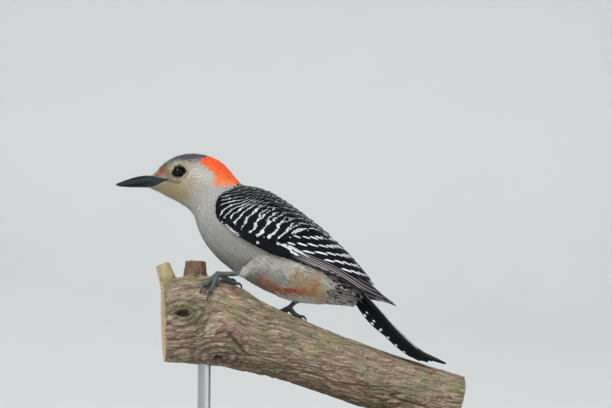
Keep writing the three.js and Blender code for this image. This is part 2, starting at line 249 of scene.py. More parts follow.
MOUNT_MIDDLE = (0, 0, 0.14)
SOFT_BOXES = [
    {"name": "key_box", "place": (-0.9, -1.5, 1.7), "aim": MOUNT_MIDDLE, "size": 1.1, "power": 33},
    {"name": "fill_box", "place": (1.5, -1.7, 0.7), "aim": MOUNT_MIDDLE, "size": 1.6, "power": 13},
    {"name": "back_box", "place": (0.5, 1.6, 1.9), "aim": MOUNT_MIDDLE, "size": 1.4, "power": 30},
    {"name": "backdrop_box", "place": (0.2, 1.5, 0.5), "aim": (0.2, 3.5, 0.4), "size": 1.6, "power": 8},
]
for box in SOFT_BOXES:
    light = placed(box["name"], bpy.data.lights.new(box["name"], "AREA"))
    light.data.size = box["size"]
    light.data.energy = box["power"]
    aimed(light, box["place"], box["aim"])
sky = bpy.data.worlds.new("studio_sky")
sky.use_nodes = True
sky.node_tree.nodes["Background"].inputs["Color"].default_value = colour(236, 240, 246)
sky.node_tree.nodes["Background"].inputs["Strength"].default_value = 0.52
bpy.context.scene.world = sky


# ---- The skin ----
# A stuffed bird is one skin drawn over a filled form, with no seam in sight. The form is the outer
# surface of the coat, closed from the solids; the skin lies inside it by the depth of the feathers.
FORM_GROWTH = 0.25  # how far the form stands off the solids
FORM_GRAIN = 0.75  # of its remesh
WELDS_PER_MM = 200  # points nearer each other than this are one
BACK_ORIGIN = np.array([-56.0, 0, 170])
BACK_LINE = np.array([0.8645, 0, -0.5026])  # from the shoulders to the root of the tail
BACK_UP = np.array([0.5026, 0, 0.8645])
LEFT = np.array([0, -1, 0])
FLESH = ["head", "neck", "trunk", "thigh_left", "thigh_right"]
WINGS = ["wing_left", "wing_right"]
BESIDES = ["tail", "eye_left", "eye_right", "bill_upper", "bill_lower", "shank_left", "shank_right"]


def all_of(items, field, kind, width=1):
    """One field of all the items of a mesh, as rows of numbers."""
    values = np.empty(len(items) * width, kind)
    items.foreach_get(field, values)
    return values.reshape(-1, width)


def node_surface(node):
    """A CAD node's points in millimetres and its triangles, with doubled points joined."""
    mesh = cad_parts[node].data
    points = all_of(mesh.vertices, "co", np.float32, 3) / MM
    mesh.calc_loop_triangles()
    corners = all_of(mesh.loop_triangles, "vertices", np.int32, 3)
    keys = np.round(points * WELDS_PER_MM).astype(np.int64)
    _, first, joined = np.unique(keys, axis=0, return_index=True, return_inverse=True)
    faces = joined.ravel()[corners]
    whole = (faces[:, 0] != faces[:, 1]) & (faces[:, 1] != faces[:, 2]) & (faces[:, 0] != faces[:, 2])
    return points[first], faces[whole]


def point_normals(points, faces):
    """The outward direction at each point of a surface of triangles or quads."""
    across = points[faces[:, 2]] - points[faces[:, 0]]
    if faces.shape[1] == 4:
        facing = np.cross(across, points[faces[:, 3]] - points[faces[:, 1]])
    else:
        facing = np.cross(points[faces[:, 1]] - points[faces[:, 0]], across)
    total = np.zeros_like(points)
    for corner in range(faces.shape[1]):
        np.add.at(total, faces[:, corner], facing)
    return total / np.maximum(np.linalg.norm(total, axis=1, keepdims=True), 1e-12)


def closed_form(name, surfaces, grain, passes):
    """One closed surface round several, from a fine remesh that is then smoothed."""
    points = []
    faces = []
    for surface, triangles in surfaces:
        faces.append(triangles + sum(len(part) for part in points))
        points.append(surface)
    rough = mesh_object(name, np.concatenate(points), np.concatenate(faces), None)
    remesh = rough.modifiers.new("remesh", "REMESH")
    remesh.mode = "VOXEL"
    remesh.voxel_size = grain * MM
    smooth = rough.modifiers.new("smooth", "SMOOTH")
    smooth.factor = 0.5
    smooth.iterations = passes
    seen = rough.evaluated_get(bpy.context.evaluated_depsgraph_get())
    mesh = bpy.data.meshes.new_from_object(seen)
    bpy.data.objects.remove(rough)
    points = all_of(mesh.vertices, "co", np.float32, 3).astype(float) / MM
    quads = all_of(mesh.loops, "vertex_index", np.int32).reshape(-1, 4)
    bpy.data.meshes.remove(mesh)
    return points, quads


def grown(surface, amount):
    """A surface moved outwards all over."""
    points, faces = surface
    return points + point_normals(points, faces) * amount, faces


def tree_of(points, faces):
    """A surface made ready to be measured from outside or inside it."""
    return BVHTree.FromPolygons([Vector(point) for point in points], [list(map(int, face)) for face in faces])


flesh = [grown(node_surface(node), FORM_GROWTH) for node in FLESH]
wings = [grown(node_surface(node), FORM_GROWTH) for node in WINGS]
whole = flesh + wings + [grown(node_surface(node), 0.1) for node in BESIDES]
form_points, form_faces = closed_form("form", whole, FORM_GRAIN, 5)
form = tree_of(form_points, form_faces)

# How far the coat stands off the skin, at the face, the body and under the wing feathers.
FACE_COAT = 0.7
BODY_COAT = 1.1
WING_COAT = 1.7
THICKEST = 40
OUTSIDE = 80  # from the line of the back, beyond every part of the bird
END_REACH = 8  # past the end of the tail
EYE_PLACE = np.array([-80.3, -8.9, 191.4])
EYE_RADIUS = 4.1


def smoothstep(value, low, high):
    """A smooth rise from 0 at the low value to 1 at the high one."""
    share = np.clip((value - low) / (high - low), 0, 1)
    return share * share * (3 - 2 * share)


def on_curve(place, curve):
    """What a curve, given by a few of its points, says at a place."""
    return np.interp(place, *zip(*curve))


def back_places(points):
    """Each point as its distance along the back, its angle round it from the top, and its reach."""
    offset = points - BACK_ORIGIN
    up = offset @ BACK_UP
    left = offset @ LEFT
    return offset @ BACK_LINE, np.degrees(np.arctan2(np.abs(left), up)), np.hypot(up, left)


class Chart:
    """A smooth sheet of points over the form, read by two coordinates, with its outward direction."""

    def __init__(self, firsts, seconds, points, outward):
        self.start = np.array([firsts[0], seconds[0]])
        self.step = np.array([firsts[1] - firsts[0], seconds[1] - seconds[0]])
        self.points = points
        slopes = np.gradient(points, *self.step, axis=(0, 1))
        self.stretch = np.stack([np.linalg.norm(slope, axis=-1) for slope in slopes], -1)
        facing = np.cross(*slopes)
        facing *= np.sign((facing * outward).sum(-1).mean())
        self.facing = facing / np.linalg.norm(facing, axis=-1, keepdims=True)

    def read(self, table, first, second):
        """A table of the chart's, read between its points, and carried straight on past its edges."""
        rows, columns = table.shape[:2]
        place = (np.stack([first, second], -1) - self.start) / self.step
        cell = np.clip(np.floor(place).astype(int), 0, [rows - 2, columns - 2])
        share = (place - cell)[..., None, :]
        i, j = cell[..., 0], cell[..., 1]
        low = table[i, j] * (1 - share[..., 0]) + table[i + 1, j] * share[..., 0]
        high = table[i, j + 1] * (1 - share[..., 0]) + table[i + 1, j + 1] * share[..., 0]
        return low * (1 - share[..., 1]) + high * share[..., 1]


def softened(table, sizes):
    """A table blurred along as many of its first axes as there are sizes."""
    for axis, size in enumerate(sizes):
        reach = int(3 * size) + 1
        weights = np.exp(-0.5 * (np.arange(-reach, reach + 1) / size) ** 2)
        edges = [(0, 0)] * table.ndim
        edges[axis] = (reach, reach)
        padded = np.pad(table, edges, mode="reflect", reflect_type="odd")
        blurred = sum(
            weight * np.take(padded, range(shift, shift + table.shape[axis]), axis)
            for shift, weight in enumerate(weights)
        )
        table = blurred / weights.sum()
    return table


def reach_of(tree, along, angle):
    """How far a surface stands off the line of the back, on the left side, seen from outside."""
    turn = math.radians(angle)
    outward = BACK_UP * math.cos(turn) + LEFT * math.sin(turn)
    start = BACK_ORIGIN + BACK_LINE * along + outward * OUTSIDE
    hit = tree.ray_cast(Vector(start), Vector(-outward), OUTSIDE - 0.5)
    return math.nan if hit[0] is None else OUTSIDE - hit[3]


def back_chart(tree, alongs, angles, blur):
    """The chart of a surface by distance along the back and angle round it."""
    reach = np.array([[reach_of(tree, along, angle) for angle in angles] for along in alongs])
    for row in reach:
        known = ~np.isnan(row)
        row[~known] = np.interp(angles[~known], angles[known], row[known]) if known.any() else END_REACH
    reach = softened(reach, blur)
    turns = np.radians(angles)
    outward = BACK_UP * np.cos(turns)[:, None] + LEFT * np.sin(turns)[:, None]
    points = BACK_ORIGIN + (BACK_LINE * np.array(alongs)[:, None])[:, None] + reach[..., None] * outward
    return Chart(alongs, angles, points, outward)


body_chart = back_chart(form, np.arange(-12, 118, 1.5), np.arange(-30, 181, 3.0), (1.6, 2))


# The skin: the same form without its tail, drawn in by the depth of the coat, but never by more than
# a third of its thickness. Behind the shoulders it sinks away under the quills of the wings.
def sunk_wing(surface):
    """A wing drawn in towards the back's line, and shortened, so that none of it shows past its quills."""
    points, faces = surface
    along, _, reach = back_places(points)
    outward = (points - BACK_ORIGIN - along[:, None] * BACK_LINE) / reach[:, None]
    points = points - outward * (4.5 * smoothstep(along, 46, 62))[:, None]
    return points - BACK_LINE * (0.8 * np.maximum(along - 76, 0))[:, None], faces


skin_points, skin_faces = closed_form("skin_form", flesh + [sunk_wing(wing) for wing in wings], FORM_GRAIN, 6)
skin_facing = point_normals(skin_points, skin_faces)
skin_tree = tree_of(skin_points, skin_faces)
thickness = np.array(
    [
        skin_tree.ray_cast(Vector(point - way * 0.05), Vector(-way), THICKEST)[3] or THICKEST
        for point, way in zip(skin_points, skin_facing)
    ]
)
left_wing = tree_of(*node_surface("wing_left"))
mirror = np.where(skin_points[:, 1:2] < 0, 1, [[1, -1, 1]])
near_wing = np.array([left_wing.find_nearest(Vector(point))[3] for point in skin_points * mirror])
under_quills = np.array(
    [
        left_wing.ray_cast(Vector(point), Vector(way), 14)[0] is not None
        for point, way in zip(skin_points * mirror, skin_facing * mirror)
    ]
)
under_quills = under_quills * smoothstep(back_places(skin_points)[0], 44, 50)
under_wing = np.maximum(smoothstep(3 - near_wing, 0, 1.6), under_quills)
on_face = smoothstep(-62 - skin_points[:, 0], 0, 12)
coat = BODY_COAT + (WING_COAT - BODY_COAT) * under_wing
coat = coat + (FACE_COAT - coat) * on_face
skin_points = skin_points - skin_facing * np.minimum(coat, 0.34 * thickness)[:, None]


# The way the feathers lie: back from the bill along the middle of the head, neck and trunk. Each
# stage is a point of the middle line, as x and z, and the feathers' length and width there.
LIE_STAGES = [
    (-100, 187, 1.8, 0.8),
    (-92, 188.4, 2.4, 0.9),
    (-80, 189.4, 3.4, 1.1),
    (-70, 186.6, 4.2, 1.3),
    (-60, 179.4, 5.4, 1.7),
    (-50.5, 167, 6.8, 2.2),
    (-38, 156, 7.8, 2.6),
    (-14, 142, 8.6, 2.8),
    (12, 128, 8.2, 2.6),
    (40, 113, 7.4, 2.3),
]
LEG_HIPS = {"left": (-24, -15, 141), "right": (5, 13, 126)}
LEG_HEELS = {"left": (-41, -17.5, 128.6), "right": (-3, 16.5, 117)}


def between(stages, count):
    """The numbers given at some stages, read at even steps from the first stage to the last."""
    fine = np.linspace(0, len(stages) - 1, count)
    return np.stack([np.interp(fine, np.arange(len(stages)), column) for column in zip(*stages)], -1)


def drawn_line(points, blur):
    """A line softened, with its direction at each point and how far along it the point lies."""
    line = softened(points, (blur,))
    way = np.gradient(line, axis=0)
    way /= np.linalg.norm(way, axis=1, keepdims=True)
    steps = np.linalg.norm(np.diff(line, axis=0), axis=1)
    return line, way, np.concatenate([[0], np.cumsum(steps)])


stages = between(LIE_STAGES, 120)
middle_sizes = stages[:, 2:]
middle_line, middle_way, middle_run = drawn_line(np.insert(stages[:, :2], 1, 0, axis=1), 4)
middle_run /= middle_run[-1]


def unwrapped(points, nearest):
    """The skin's own unwrap: along the middle line, and round it from a seam under the belly."""
    off = points - middle_line[nearest]
    way = middle_way[nearest]
    rise = off[:, 2] * way[:, 0] - off[:, 0] * way[:, 2]
    turn = np.arctan2(off[:, 1], rise)
    return np.stack([0.05 + 0.9 * middle_run[nearest], 0.5 + 0.45 * turn / math.pi], -1)


def nearest_stage(points):
    """Which stage of the middle line each point is nearest to, seen from the side."""
    flat = points * [1, 0, 1]
    return np.argmin(np.linalg.norm(flat[:, None] - middle_line[None], axis=2), axis=1)


def lie_of(points, facing, nearest):
    """The way feathers lie at points of the coat: they part round the eye and run down a thigh."""
    way = middle_way[nearest].copy()
    for side in (1, -1):
        away = points - EYE_PLACE * [1, side, 1]
        distance = np.linalg.norm(away, axis=1, keepdims=True)
        way += away / distance * 0.9 * np.exp(-((distance / 6.5) ** 2))
    # The tufts over the nostrils lie forward.
    forward = smoothstep(-91.5 - points[:, 0], 0, 1.5) * smoothstep(points[:, 2], 189.5, 190.5)
    way *= 1 - 2 * forward[:, None]
    for side in ("left", "right"):
        hip, heel = np.array(LEG_HIPS[side], float), np.array(LEG_HEELS[side], float)
        run = heel - hip
        share = ((points - hip) @ run) / (run @ run)
        off = np.linalg.norm(points - hip - share[:, None] * run, axis=1)
        pull = smoothstep(share, 0.3, 0.8) * smoothstep(10 - off, 0, 5)
        way += 3 * pull[:, None] * run / np.linalg.norm(run)
    way -= (way * facing).sum(1, keepdims=True) * facing
    return way / np.maximum(np.linalg.norm(way, axis=1, keepdims=True), 1e-9)


skin_stage = nearest_stage(skin_points)
skin_way = lie_of(skin_points, skin_facing, skin_stage)
skin_unwrap = unwrapped(skin_points, skin_stage)

# Soft plumage: greys and buffs that change along the body, and the marks that lie over them, one of them a
# painted shadow under the wing. Each mark fades between two distances from a line on the bird's side, given
# by its two ends. After these come its paint and how much of it covers what lies below.
TONES_START = -44  # along the back's line
TONES_RUN = 148
BODY_TONES = [
    (0.0, (176, 168, 146)),
    (0.12, (174, 164, 140)),
    (0.24, (184, 182, 179)),
    (0.36, (163, 162, 158)),
    (0.55, (152, 150, 142)),
    (0.75, (156, 154, 144)),
    (1.0, (190, 188, 180)),
]
MARKS = [
    ((-91, 195.5), (-85, 199), 1, 4, (106, 110, 84), 0.85),
    ((-81, 203.5), (-66, 203), 2, 7, (70, 71, 80), 0.95),
    ((-71, 199), (-64, 200), 0.2, 2.4, (158, 154, 156), 0.55),
    ((-84, 196.4), (-72, 195.6), 0.5, 2.4, (176, 168, 148), 0.6),
    ((-69.5, 191), (-61, 187.5), 1.5, 6.5, (203, 196, 190), 0.9),
    ((-88, 183), (-78, 177.5), 0.5, 6.5, (172, 148, 92), 0.55),
    ((-80, 184.5), (-72, 185), 0.5, 4, (186, 170, 130), 0.5),
    ((-87.5, 191), (-85, 189), 0.5, 3.6, (128, 104, 74), 0.7),
    ((-93.4, 191.2), (-89.8, 192.7), 0.6, 3.2, (172, 88, 50), 0.9),
    ((-96, 191), (-93.5, 192.5), 0.3, 1.8, (186, 164, 134), 0.7),
    ((-88, 186.6), (-80, 184.8), 0.1, 1.7, (78, 72, 62), 0.6),
    ((-99, 182), (-92, 179.2), 0.2, 2, (206, 204, 196), 0.7),
    ((-46, 133), (-41, 129), 1, 5, (190, 186, 176), 0.8),
    ((-28, 134), (-8, 131), 1, 7, (188, 186, 178), 0.7),
    ((-30, 126), (-18, 119.5), 0.6, 3, (172, 100, 62), 0.75),
    ((-19, 118.6), (2, 117.6), 0.6, 3, (172, 78, 40), 0.95),
    ((2, 118), (4, 122.5), 0.6, 3.4, (160, 82, 44), 0.85),
    ((3, 124), (5, 129), 0.6, 3, (160, 116, 78), 0.5),
    ((-8, 126), (8, 116), 2, 7.5, (172, 140, 96), 0.7),
    ((-26, 118), (6, 112.5), 0.4, 2.6, (206, 206, 200), 0.9),
    # A grey band along the wing's lower edge: painted shadow under the wing.
    ((12, 130), (32, 119), 1, 6.5, (98, 97, 98), 0.7),
    ((-19.4, 130.5), (-17.6, 128.6), 0.1, 1.1, (96, 94, 90), 0.35),
    ((-16.2, 127.4), (-14.6, 125.4), 0.1, 1.1, (96, 94, 90), 0.35),
    ((-9.6, 132.4), (-9, 129.4), 0.1, 1.1, (96, 94, 90), 0.35),
]
NAPE_PAINTS = [(255, 136, 76), (255, 84, 16), (240, 156, 116)]


def line_distance(finish, x, z, start, end):
    """The distance, seen from the side, from a straight line between two points."""
    length = math.dist(start, end)
    way_x, way_z = (end[0] - start[0]) / length, (end[1] - start[1]) / length
    from_x, from_z = x - start[0], z - start[1]
    run = finish.clamped(from_x * way_x + from_z * way_z, 0, length)
    return ((from_x - run * way_x) ** 2 + (from_z - run * way_z) ** 2) ** 0.5


def soft_paint(finish):
    """The soft plumage's colour. Every edge in it wanders, and each tuft strays a little."""
    place = finish.place()
    cloud = finish.cloud(place, 0.32, 3, "Color")
    moved = finish.node("VectorMath", {"operation": "MULTIPLY_ADD"}, {0: cloud, 1: (3, 3, 3), 2: place})
    stray = finish.attribute("stray", "Vector")
    moved = finish.node("VectorMath", {"operation": "ADD"}, {0: moved, 1: stray})
    x, _, z = finish.parts(moved)
    x = x - 1.5
    z = z - 1.5
    along = (x - BACK_ORIGIN[0]) * BACK_LINE[0] + (z - BACK_ORIGIN[2]) * BACK_LINE[2]
    paint = finish.ramp((along - TONES_START) * (1 / TONES_RUN), BODY_TONES)
    for start, end, near, far, tone, share in MARKS:
        shown = share * (1 - finish.rise(line_distance(finish, x, z, start, end), near, far))
        paint = finish.blend(shown, paint, tone)
    # The nape: orange red, behind a line that slopes back from the crown and then drops.
    lobe = finish.clamped(z - 190.3, 0, 8.4)
    top = finish.maths("MAXIMUM", z - 199, 0)
    front = x + 58.2 + 1.15 * lobe - 1.6 * top + 0.35 * finish.maths("MAXIMUM", 186 - z, 0)
    foot = z - 182.6 - (x + 59) * 0.07
    nape = finish.rise(front, -1.8, 1.6) * finish.rise(foot, -1.8, 1.6)
    pale_fire, hot_fire, low_fire = NAPE_PAINTS
    patches = finish.rise(finish.cloud(place, 0.3, 1), 0.4, 0.65)
    heat = finish.rise(z + 0.5 * x, 160, 170) * 0.6 + patches * 0.4
    fire = finish.blend(finish.maths("MINIMUM", heat, 1), pale_fire, hot_fire)
    fire = finish.blend(1 - finish.rise(z, 182, 189), fire, low_fire)
    return finish.blend(nape, paint, fire)


def soft_plumage(name):
    """Plumage whose tufts are a little darker at their roots and paler at their tips, partly painted shade
    where they sink under their neighbours and partly their pale fringes, and vary in tone.
    """
    finish = Finish(name, {"Roughness": 0.85, "Specular IOR Level": 0.2, "Sheen Weight": 0.12})
    tip = 0.9 + 0.16 * finish.attribute("along") + 0.06 * finish.attribute("tone")
    return finish.finished(finish.shaded(tip, soft_paint(finish)))


skin_finish = Finish("skin", {"Roughness": 0.9, "Specular IOR Level": 0.15})
skin_grain = skin_finish.cloud(skin_finish.place(), 2.2, 3)
# The skin takes the plumage's paint at 72 to 92 percent of its brightness, varied by a grain: painted shade
# where it shows between the tufts.
skin_paint = skin_finish.shaded(0.72 + 0.2 * skin_grain, soft_paint(skin_finish))
# Where it lies bare under the wing and the mantle the skin is painted near black: painted shade in the gap
# under the wing's edge, and under the mantle the dark of its black feathers.
skin_paint = skin_finish.blend(skin_finish.attribute("cloak"), skin_paint, (26, 26, 31))
near_bill = smoothstep(-90 - skin_points[:, 0], 0, 2)
skin = mesh_object(
    "skin",
    skin_points,
    skin_faces,
    skin_finish.finished(skin_paint, skin_grain, 0.2),
    [
        ("lie", skin_way),
        ("length", middle_sizes[skin_stage, 0] * (1 - 0.45 * near_bill) * MM),
        ("width", middle_sizes[skin_stage, 1] * MM),
        ("unwrap", np.column_stack([skin_unwrap, np.zeros(len(skin_points))])),
        ("cloak", under_wing),
    ],
)
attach(skin, "root")
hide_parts(*FLESH)


# ---- The soft coat ----
# Small contour feathers over the face, neck, breast, belly and thighs, each a thin cambered vane
# with a split tip. They are set root by root over the skin and pressed down to the coat's surface.
class Pattern:
    """A Geometry Nodes tree, with its named inputs, while its nodes are being joined up."""

    def __init__(self, name, inputs):
        self.tree = bpy.data.node_groups.new(name, "GeometryNodeTree")
        for label, kind in inputs.items():
            self.tree.interface.new_socket(label, in_out="INPUT", socket_type="NodeSocket" + kind)
        self.tree.interface.new_socket("Geometry", in_out="OUTPUT", socket_type="NodeSocketGeometry")
        entry = self.tree.nodes.new("NodeGroupInput")
        self.given = {label: Wire(self, entry.outputs[label]) for label in inputs}

    def node(self, kind, settings, inputs, output=None):
        made = self.tree.nodes.new(kind)
        for setting, value in settings.items():
            setattr(made, setting, value)
        usable = {socket.name: socket for socket in reversed(made.inputs) if socket.enabled}
        for label, value in inputs.items():
            socket = made.inputs[label] if isinstance(label, int) else usable[label]
            if isinstance(value, Wire):
                self.tree.links.new(value.socket, socket)
            else:
                socket.default_value = value
        shown = [socket for socket in made.outputs if socket.enabled]
        return Wire(self, next(socket for socket in shown if output in (None, socket.name)))

    def maths(self, operation, *values):
        return self.node("ShaderNodeMath", {"operation": operation}, dict(enumerate(values)))

    def added(self, first, second):
        return self.node("ShaderNodeVectorMath", {"operation": "ADD"}, {0: first, 1: second})

    def scaled(self, vector, size):
        return self.node("ShaderNodeVectorMath", {"operation": "SCALE"}, {0: vector, "Scale": size})

    def named(self, name, kind="FLOAT"):
        return self.node("GeometryNodeInputNamedAttribute", {"data_type": kind}, {"Name": name}, "Attribute")

    def chance(self, low, high, seed, kind="FLOAT"):
        inputs = {"Min": low, "Max": high, "Seed": seed}
        return self.node("FunctionNodeRandomValue", {"data_type": kind}, inputs, "Value")

    def shape_of(self, thing):
        return self.node("GeometryNodeObjectInfo", {}, {"Object": thing}, "Geometry")

    def store(self, geometry, name, value, kind="FLOAT", domain="POINT"):
        settings = {"data_type": kind, "domain": domain}
        inputs = {"Geometry": geometry, "Name": name, "Value": value}
        return self.node("GeometryNodeStoreNamedAttribute", settings, inputs)


COAT_INPUTS = {
    "Geometry": "Geometry",
    "Form": "Object",
    "Vane": "Object",
    "Spacing": "Float",
    "Cover": "String",
    "Root depth": "Float",
    "Tip height": "Float",
    "Camber": "Float",
    "Seed": "Int",
    "Finish": "Material",
}


def coat_pattern():
    """Vanes over a skin: rooted in it, turned along its lie, and pressed down to the form's surface."""
    pattern = Pattern("coat_of_vanes", COAT_INPUTS)
    given = pattern.given
    spacing = given["Spacing"]
    scatter = {
        "Mesh": given["Geometry"],
        "Distance Min": spacing,
        "Density Max": pattern.maths("DIVIDE", 3, spacing * spacing),
        "Density Factor": pattern.named(given["Cover"]),
        "Seed": given["Seed"],
    }
    spread_out = {"distribute_method": "POISSON"}
    roots = pattern.node("GeometryNodeDistributePointsOnFaces", spread_out, scatter, "Points")
    facing = Wire(pattern, roots.socket.node.outputs["Normal"])
    roots = pattern.store(roots, "tone", pattern.chance(-1.0, 1.0, 3))
    stray = pattern.chance((-0.8,) * 3, (0.8,) * 3, 4, "FLOAT_VECTOR")
    roots = pattern.store(roots, "stray", stray, "FLOAT_VECTOR")
    turn = pattern.node(
        "FunctionNodeAxesToRotation",
        {"primary_axis": "Z", "secondary_axis": "X"},
        {"Primary Axis": facing, "Secondary Axis": pattern.named("lie", "FLOAT_VECTOR")},
    )
    twist = pattern.node("ShaderNodeCombineXYZ", {}, {"Z": pattern.chance(-0.2, 0.2, 5)})
    twist = pattern.node("FunctionNodeEulerToRotation", {}, {"Euler": twist})
    both = {"Rotation": turn, "Rotate By": twist}
    turn = pattern.node("FunctionNodeRotateRotation", {"rotation_space": "LOCAL"}, both)
    length = pattern.named("length") * pattern.chance(0.82, 1.18, 6)
    size = pattern.node("ShaderNodeCombineXYZ", {}, {"X": length, "Y": pattern.named("width"), "Z": 1.0})
    set_out = {"Points": roots, "Instance": pattern.shape_of(given["Vane"]), "Rotation": turn, "Scale": size}
    vanes = pattern.node("GeometryNodeInstanceOnPoints", {}, set_out)
    vanes = pattern.node("GeometryNodeRealizeInstances", {}, {"Geometry": vanes})
    form_shape = pattern.shape_of(given["Form"])
    on_faces = {"target_element": "FACES"}
    pressed = pattern.node("GeometryNodeProximity", on_faces, {"Geometry": form_shape}, "Position")
    outward = pattern.node(
        "GeometryNodeSampleNearestSurface",
        {"data_type": "FLOAT_VECTOR"},
        {"Mesh": form_shape, "Value": pattern.named("facing", "FLOAT_VECTOR")},
        "Value",
    )
    along = pattern.named("along")
    across = pattern.named("across")
    tip = given["Tip height"] * pattern.maths("MULTIPLY_ADD", pattern.named("tone"), 0.45, 1)
    height = given["Root depth"] * (along - 1) + tip * along - given["Camber"] * (across * across)
    height = height + pattern.named("side")
    lifted = pattern.added(pressed, pattern.scaled(outward, height))
    vanes = pattern.node("GeometryNodeSetPosition", {}, {"Geometry": vanes, "Position": lifted})
    patch = pattern.node("ShaderNodeCombineXYZ", {}, {"X": along, "Y": across})
    patch = pattern.added(pattern.named("unwrap", "FLOAT_VECTOR"), pattern.scaled(patch, 0.0015))
    vanes = pattern.store(vanes, "OFBake", patch, "FLOAT2", "CORNER")
    vanes = pattern.node("GeometryNodeSetMaterial", {}, {"Geometry": vanes, "Material": given["Finish"]})
    pattern.tree.links.new(vanes.socket, pattern.tree.nodes.new("NodeGroupOutput").inputs[0])
    return pattern.tree


def small_feather(name, rows, columns, split):
    """A vane 1 long and 1 wide: a cambered face over a thin keel, with a split tip, closed all round."""
    along = np.linspace(0, 1, rows)[:, None] + np.zeros(columns)
    across = np.linspace(-1, 1, columns) + np.zeros(rows)[:, None]
    half = 0.5 * np.sqrt(np.clip(1 - ((along - 0.5) / 0.56) ** 4, 0, 1))
    half = half * (0.55 + 0.45 * smoothstep(along, 0, 0.45))
    notch = split * (np.arange(columns) % 2) * (along == 1) + 0.22 * across**2 * smoothstep(along, 0.5, 1)
    face_points = np.stack([along - notch, across * half, np.zeros_like(along)], -1).reshape(-1, 3)
    keel = np.linspace(0, 1, rows)
    keel_points = np.stack([keel * 0.85, np.zeros(rows), np.zeros(rows)], -1)
    faces = grid_faces(rows, columns)[:, ::-1].tolist()
    base = rows * columns
    for row in range(rows - 1):
        left, right = row * columns, row * columns + columns - 1
        faces.append([left, left + columns, base + row + 1, base + row])
        faces.append([right, base + row, base + row + 1, right + columns])
    for column in range(columns - 1):
        corner = (rows - 1) * columns + column
        faces.append([column, column + 1, base])
        faces.append([base + rows - 1, corner + 1, corner])
    mesh = bpy.data.meshes.new(name)
    mesh.from_pydata(np.concatenate([face_points, keel_points]).tolist(), [], faces)
    for number, polygon in enumerate(mesh.polygons):
        polygon.use_smooth = number < (rows - 1) * (columns - 1)  # the keel's faces stay flat
    side = np.concatenate([np.zeros(base), np.full(rows, -0.12 * MM)])
    spread = np.concatenate([across.ravel(), np.zeros(rows)])
    run = np.concatenate([along.ravel(), keel])
    for attribute, values in (("along", run), ("across", spread), ("side", side)):
        mesh.attributes.new(attribute, "FLOAT", "POINT").data.foreach_set("value", values.astype(np.float32))
    return placed(name, mesh)


def grown_coat(piece, base, pattern, settings):
    """A plain mesh object of what the pattern makes from the base mesh."""
    made = placed(piece, base.data)
    modifier = made.modifiers.new("pattern", "NODES")
    modifier.node_group = pattern
    for item in pattern.interface.items_tree:
        if item.in_out == "INPUT" and item.name in settings:
            modifier[item.identifier] = settings[item.name]
    seen = made.evaluated_get(bpy.context.evaluated_depsgraph_get())
    mesh = bpy.data.meshes.new_from_object(seen)
    made.modifiers.remove(modifier)
    made.data = mesh
    mesh.name = piece
    mesh.materials.clear()
    mesh.materials.append(settings["Finish"])
    mesh.polygons.foreach_set("material_index", np.zeros(len(mesh.polygons), np.int32))
    for spare in ("lie", "length", "width", "unwrap", "cloak", "side", "cover"):
        if spare in mesh.attributes:
            mesh.attributes.remove(mesh.attributes[spare])
    return made


form_facing = point_normals(form_points, form_faces)
form_shape = mesh_object("form", form_points, form_faces, None, [("facing", form_facing)])
small_vane = small_feather("small_vane", 4, 3, 0.12)
broad_vane = small_feather("broad_vane", 4, 5, 0.1)

# Where the barred mantle starts along the back, by the angle round it.
MANTLE_FRONT = [(14, 4.5), (30, 1), (45, -3), (75, -4.5), (90, -2.5), (100, 0)]
# The horn of the bill runs on into the side of the face, between these two lines of feathers.
BILL_WEDGE_TOP = [(-99, 191.2), (-96.6, 190), (-93.6, 189.1), (-90.8, 188.5), (-88.5, 187.8), (-86.4, 186.9)]
BILL_WEDGE_FOOT = [(-99, 182.4), (-96.9, 183), (-93.8, 183.8), (-91.3, 184.7), (-89.2, 186), (-86.4, 186.6)]
LID_REACH = np.array([4.75, 3.6])  # no tuft is rooted nearer to the middle of the eye

skin_along, skin_angle, _ = back_places(skin_points)
skin_x, skin_y, skin_z = skin_points.T
eye_gap = np.linalg.norm((skin_points - EYE_PLACE)[:, ::2] / LID_REACH, axis=1)
mantle_front = on_curve(skin_angle, MANTLE_FRONT)
on_mantle = smoothstep(skin_along - mantle_front, 0, 3) * smoothstep(96 - skin_angle, 0, 20)
bare = np.clip(under_wing + on_mantle, 0, 1)
# The bare skin under the wing and the mantle is painted near black: painted shade under the wing's edge.
skin.data.attributes["cloak"].data.foreach_set("value", bare.astype(np.float32))
wedge_top = on_curve(skin_x, BILL_WEDGE_TOP) - skin_z
wedge_foot = skin_z - on_curve(skin_x, BILL_WEDGE_FOOT)
on_wedge = smoothstep(wedge_top, 0, 0.4) * smoothstep(wedge_foot, 0, 0.4) * (np.abs(skin_y) > 2)
under_coverts = smoothstep(skin_along, 76, 79) * smoothstep(skin_angle, 98, 104)
open_skin = (1 - smoothstep(bare, 0.55, 0.95)) * smoothstep(eye_gap, 0.92, 1.04)
open_skin = open_skin * (1 - on_wedge) * (1 - under_coverts)
on_head = smoothstep(-58 - skin_x + 0.4 * (skin_z - 175), -1, 1)
on_neck = (1 - on_head) * smoothstep(12 - skin_along, -1, 1)
on_breast = smoothstep(skin_along - 12, -1, 1) * smoothstep(52 - skin_along, -1, 1)
on_belly = smoothstep(skin_along - 52, -1, 1)
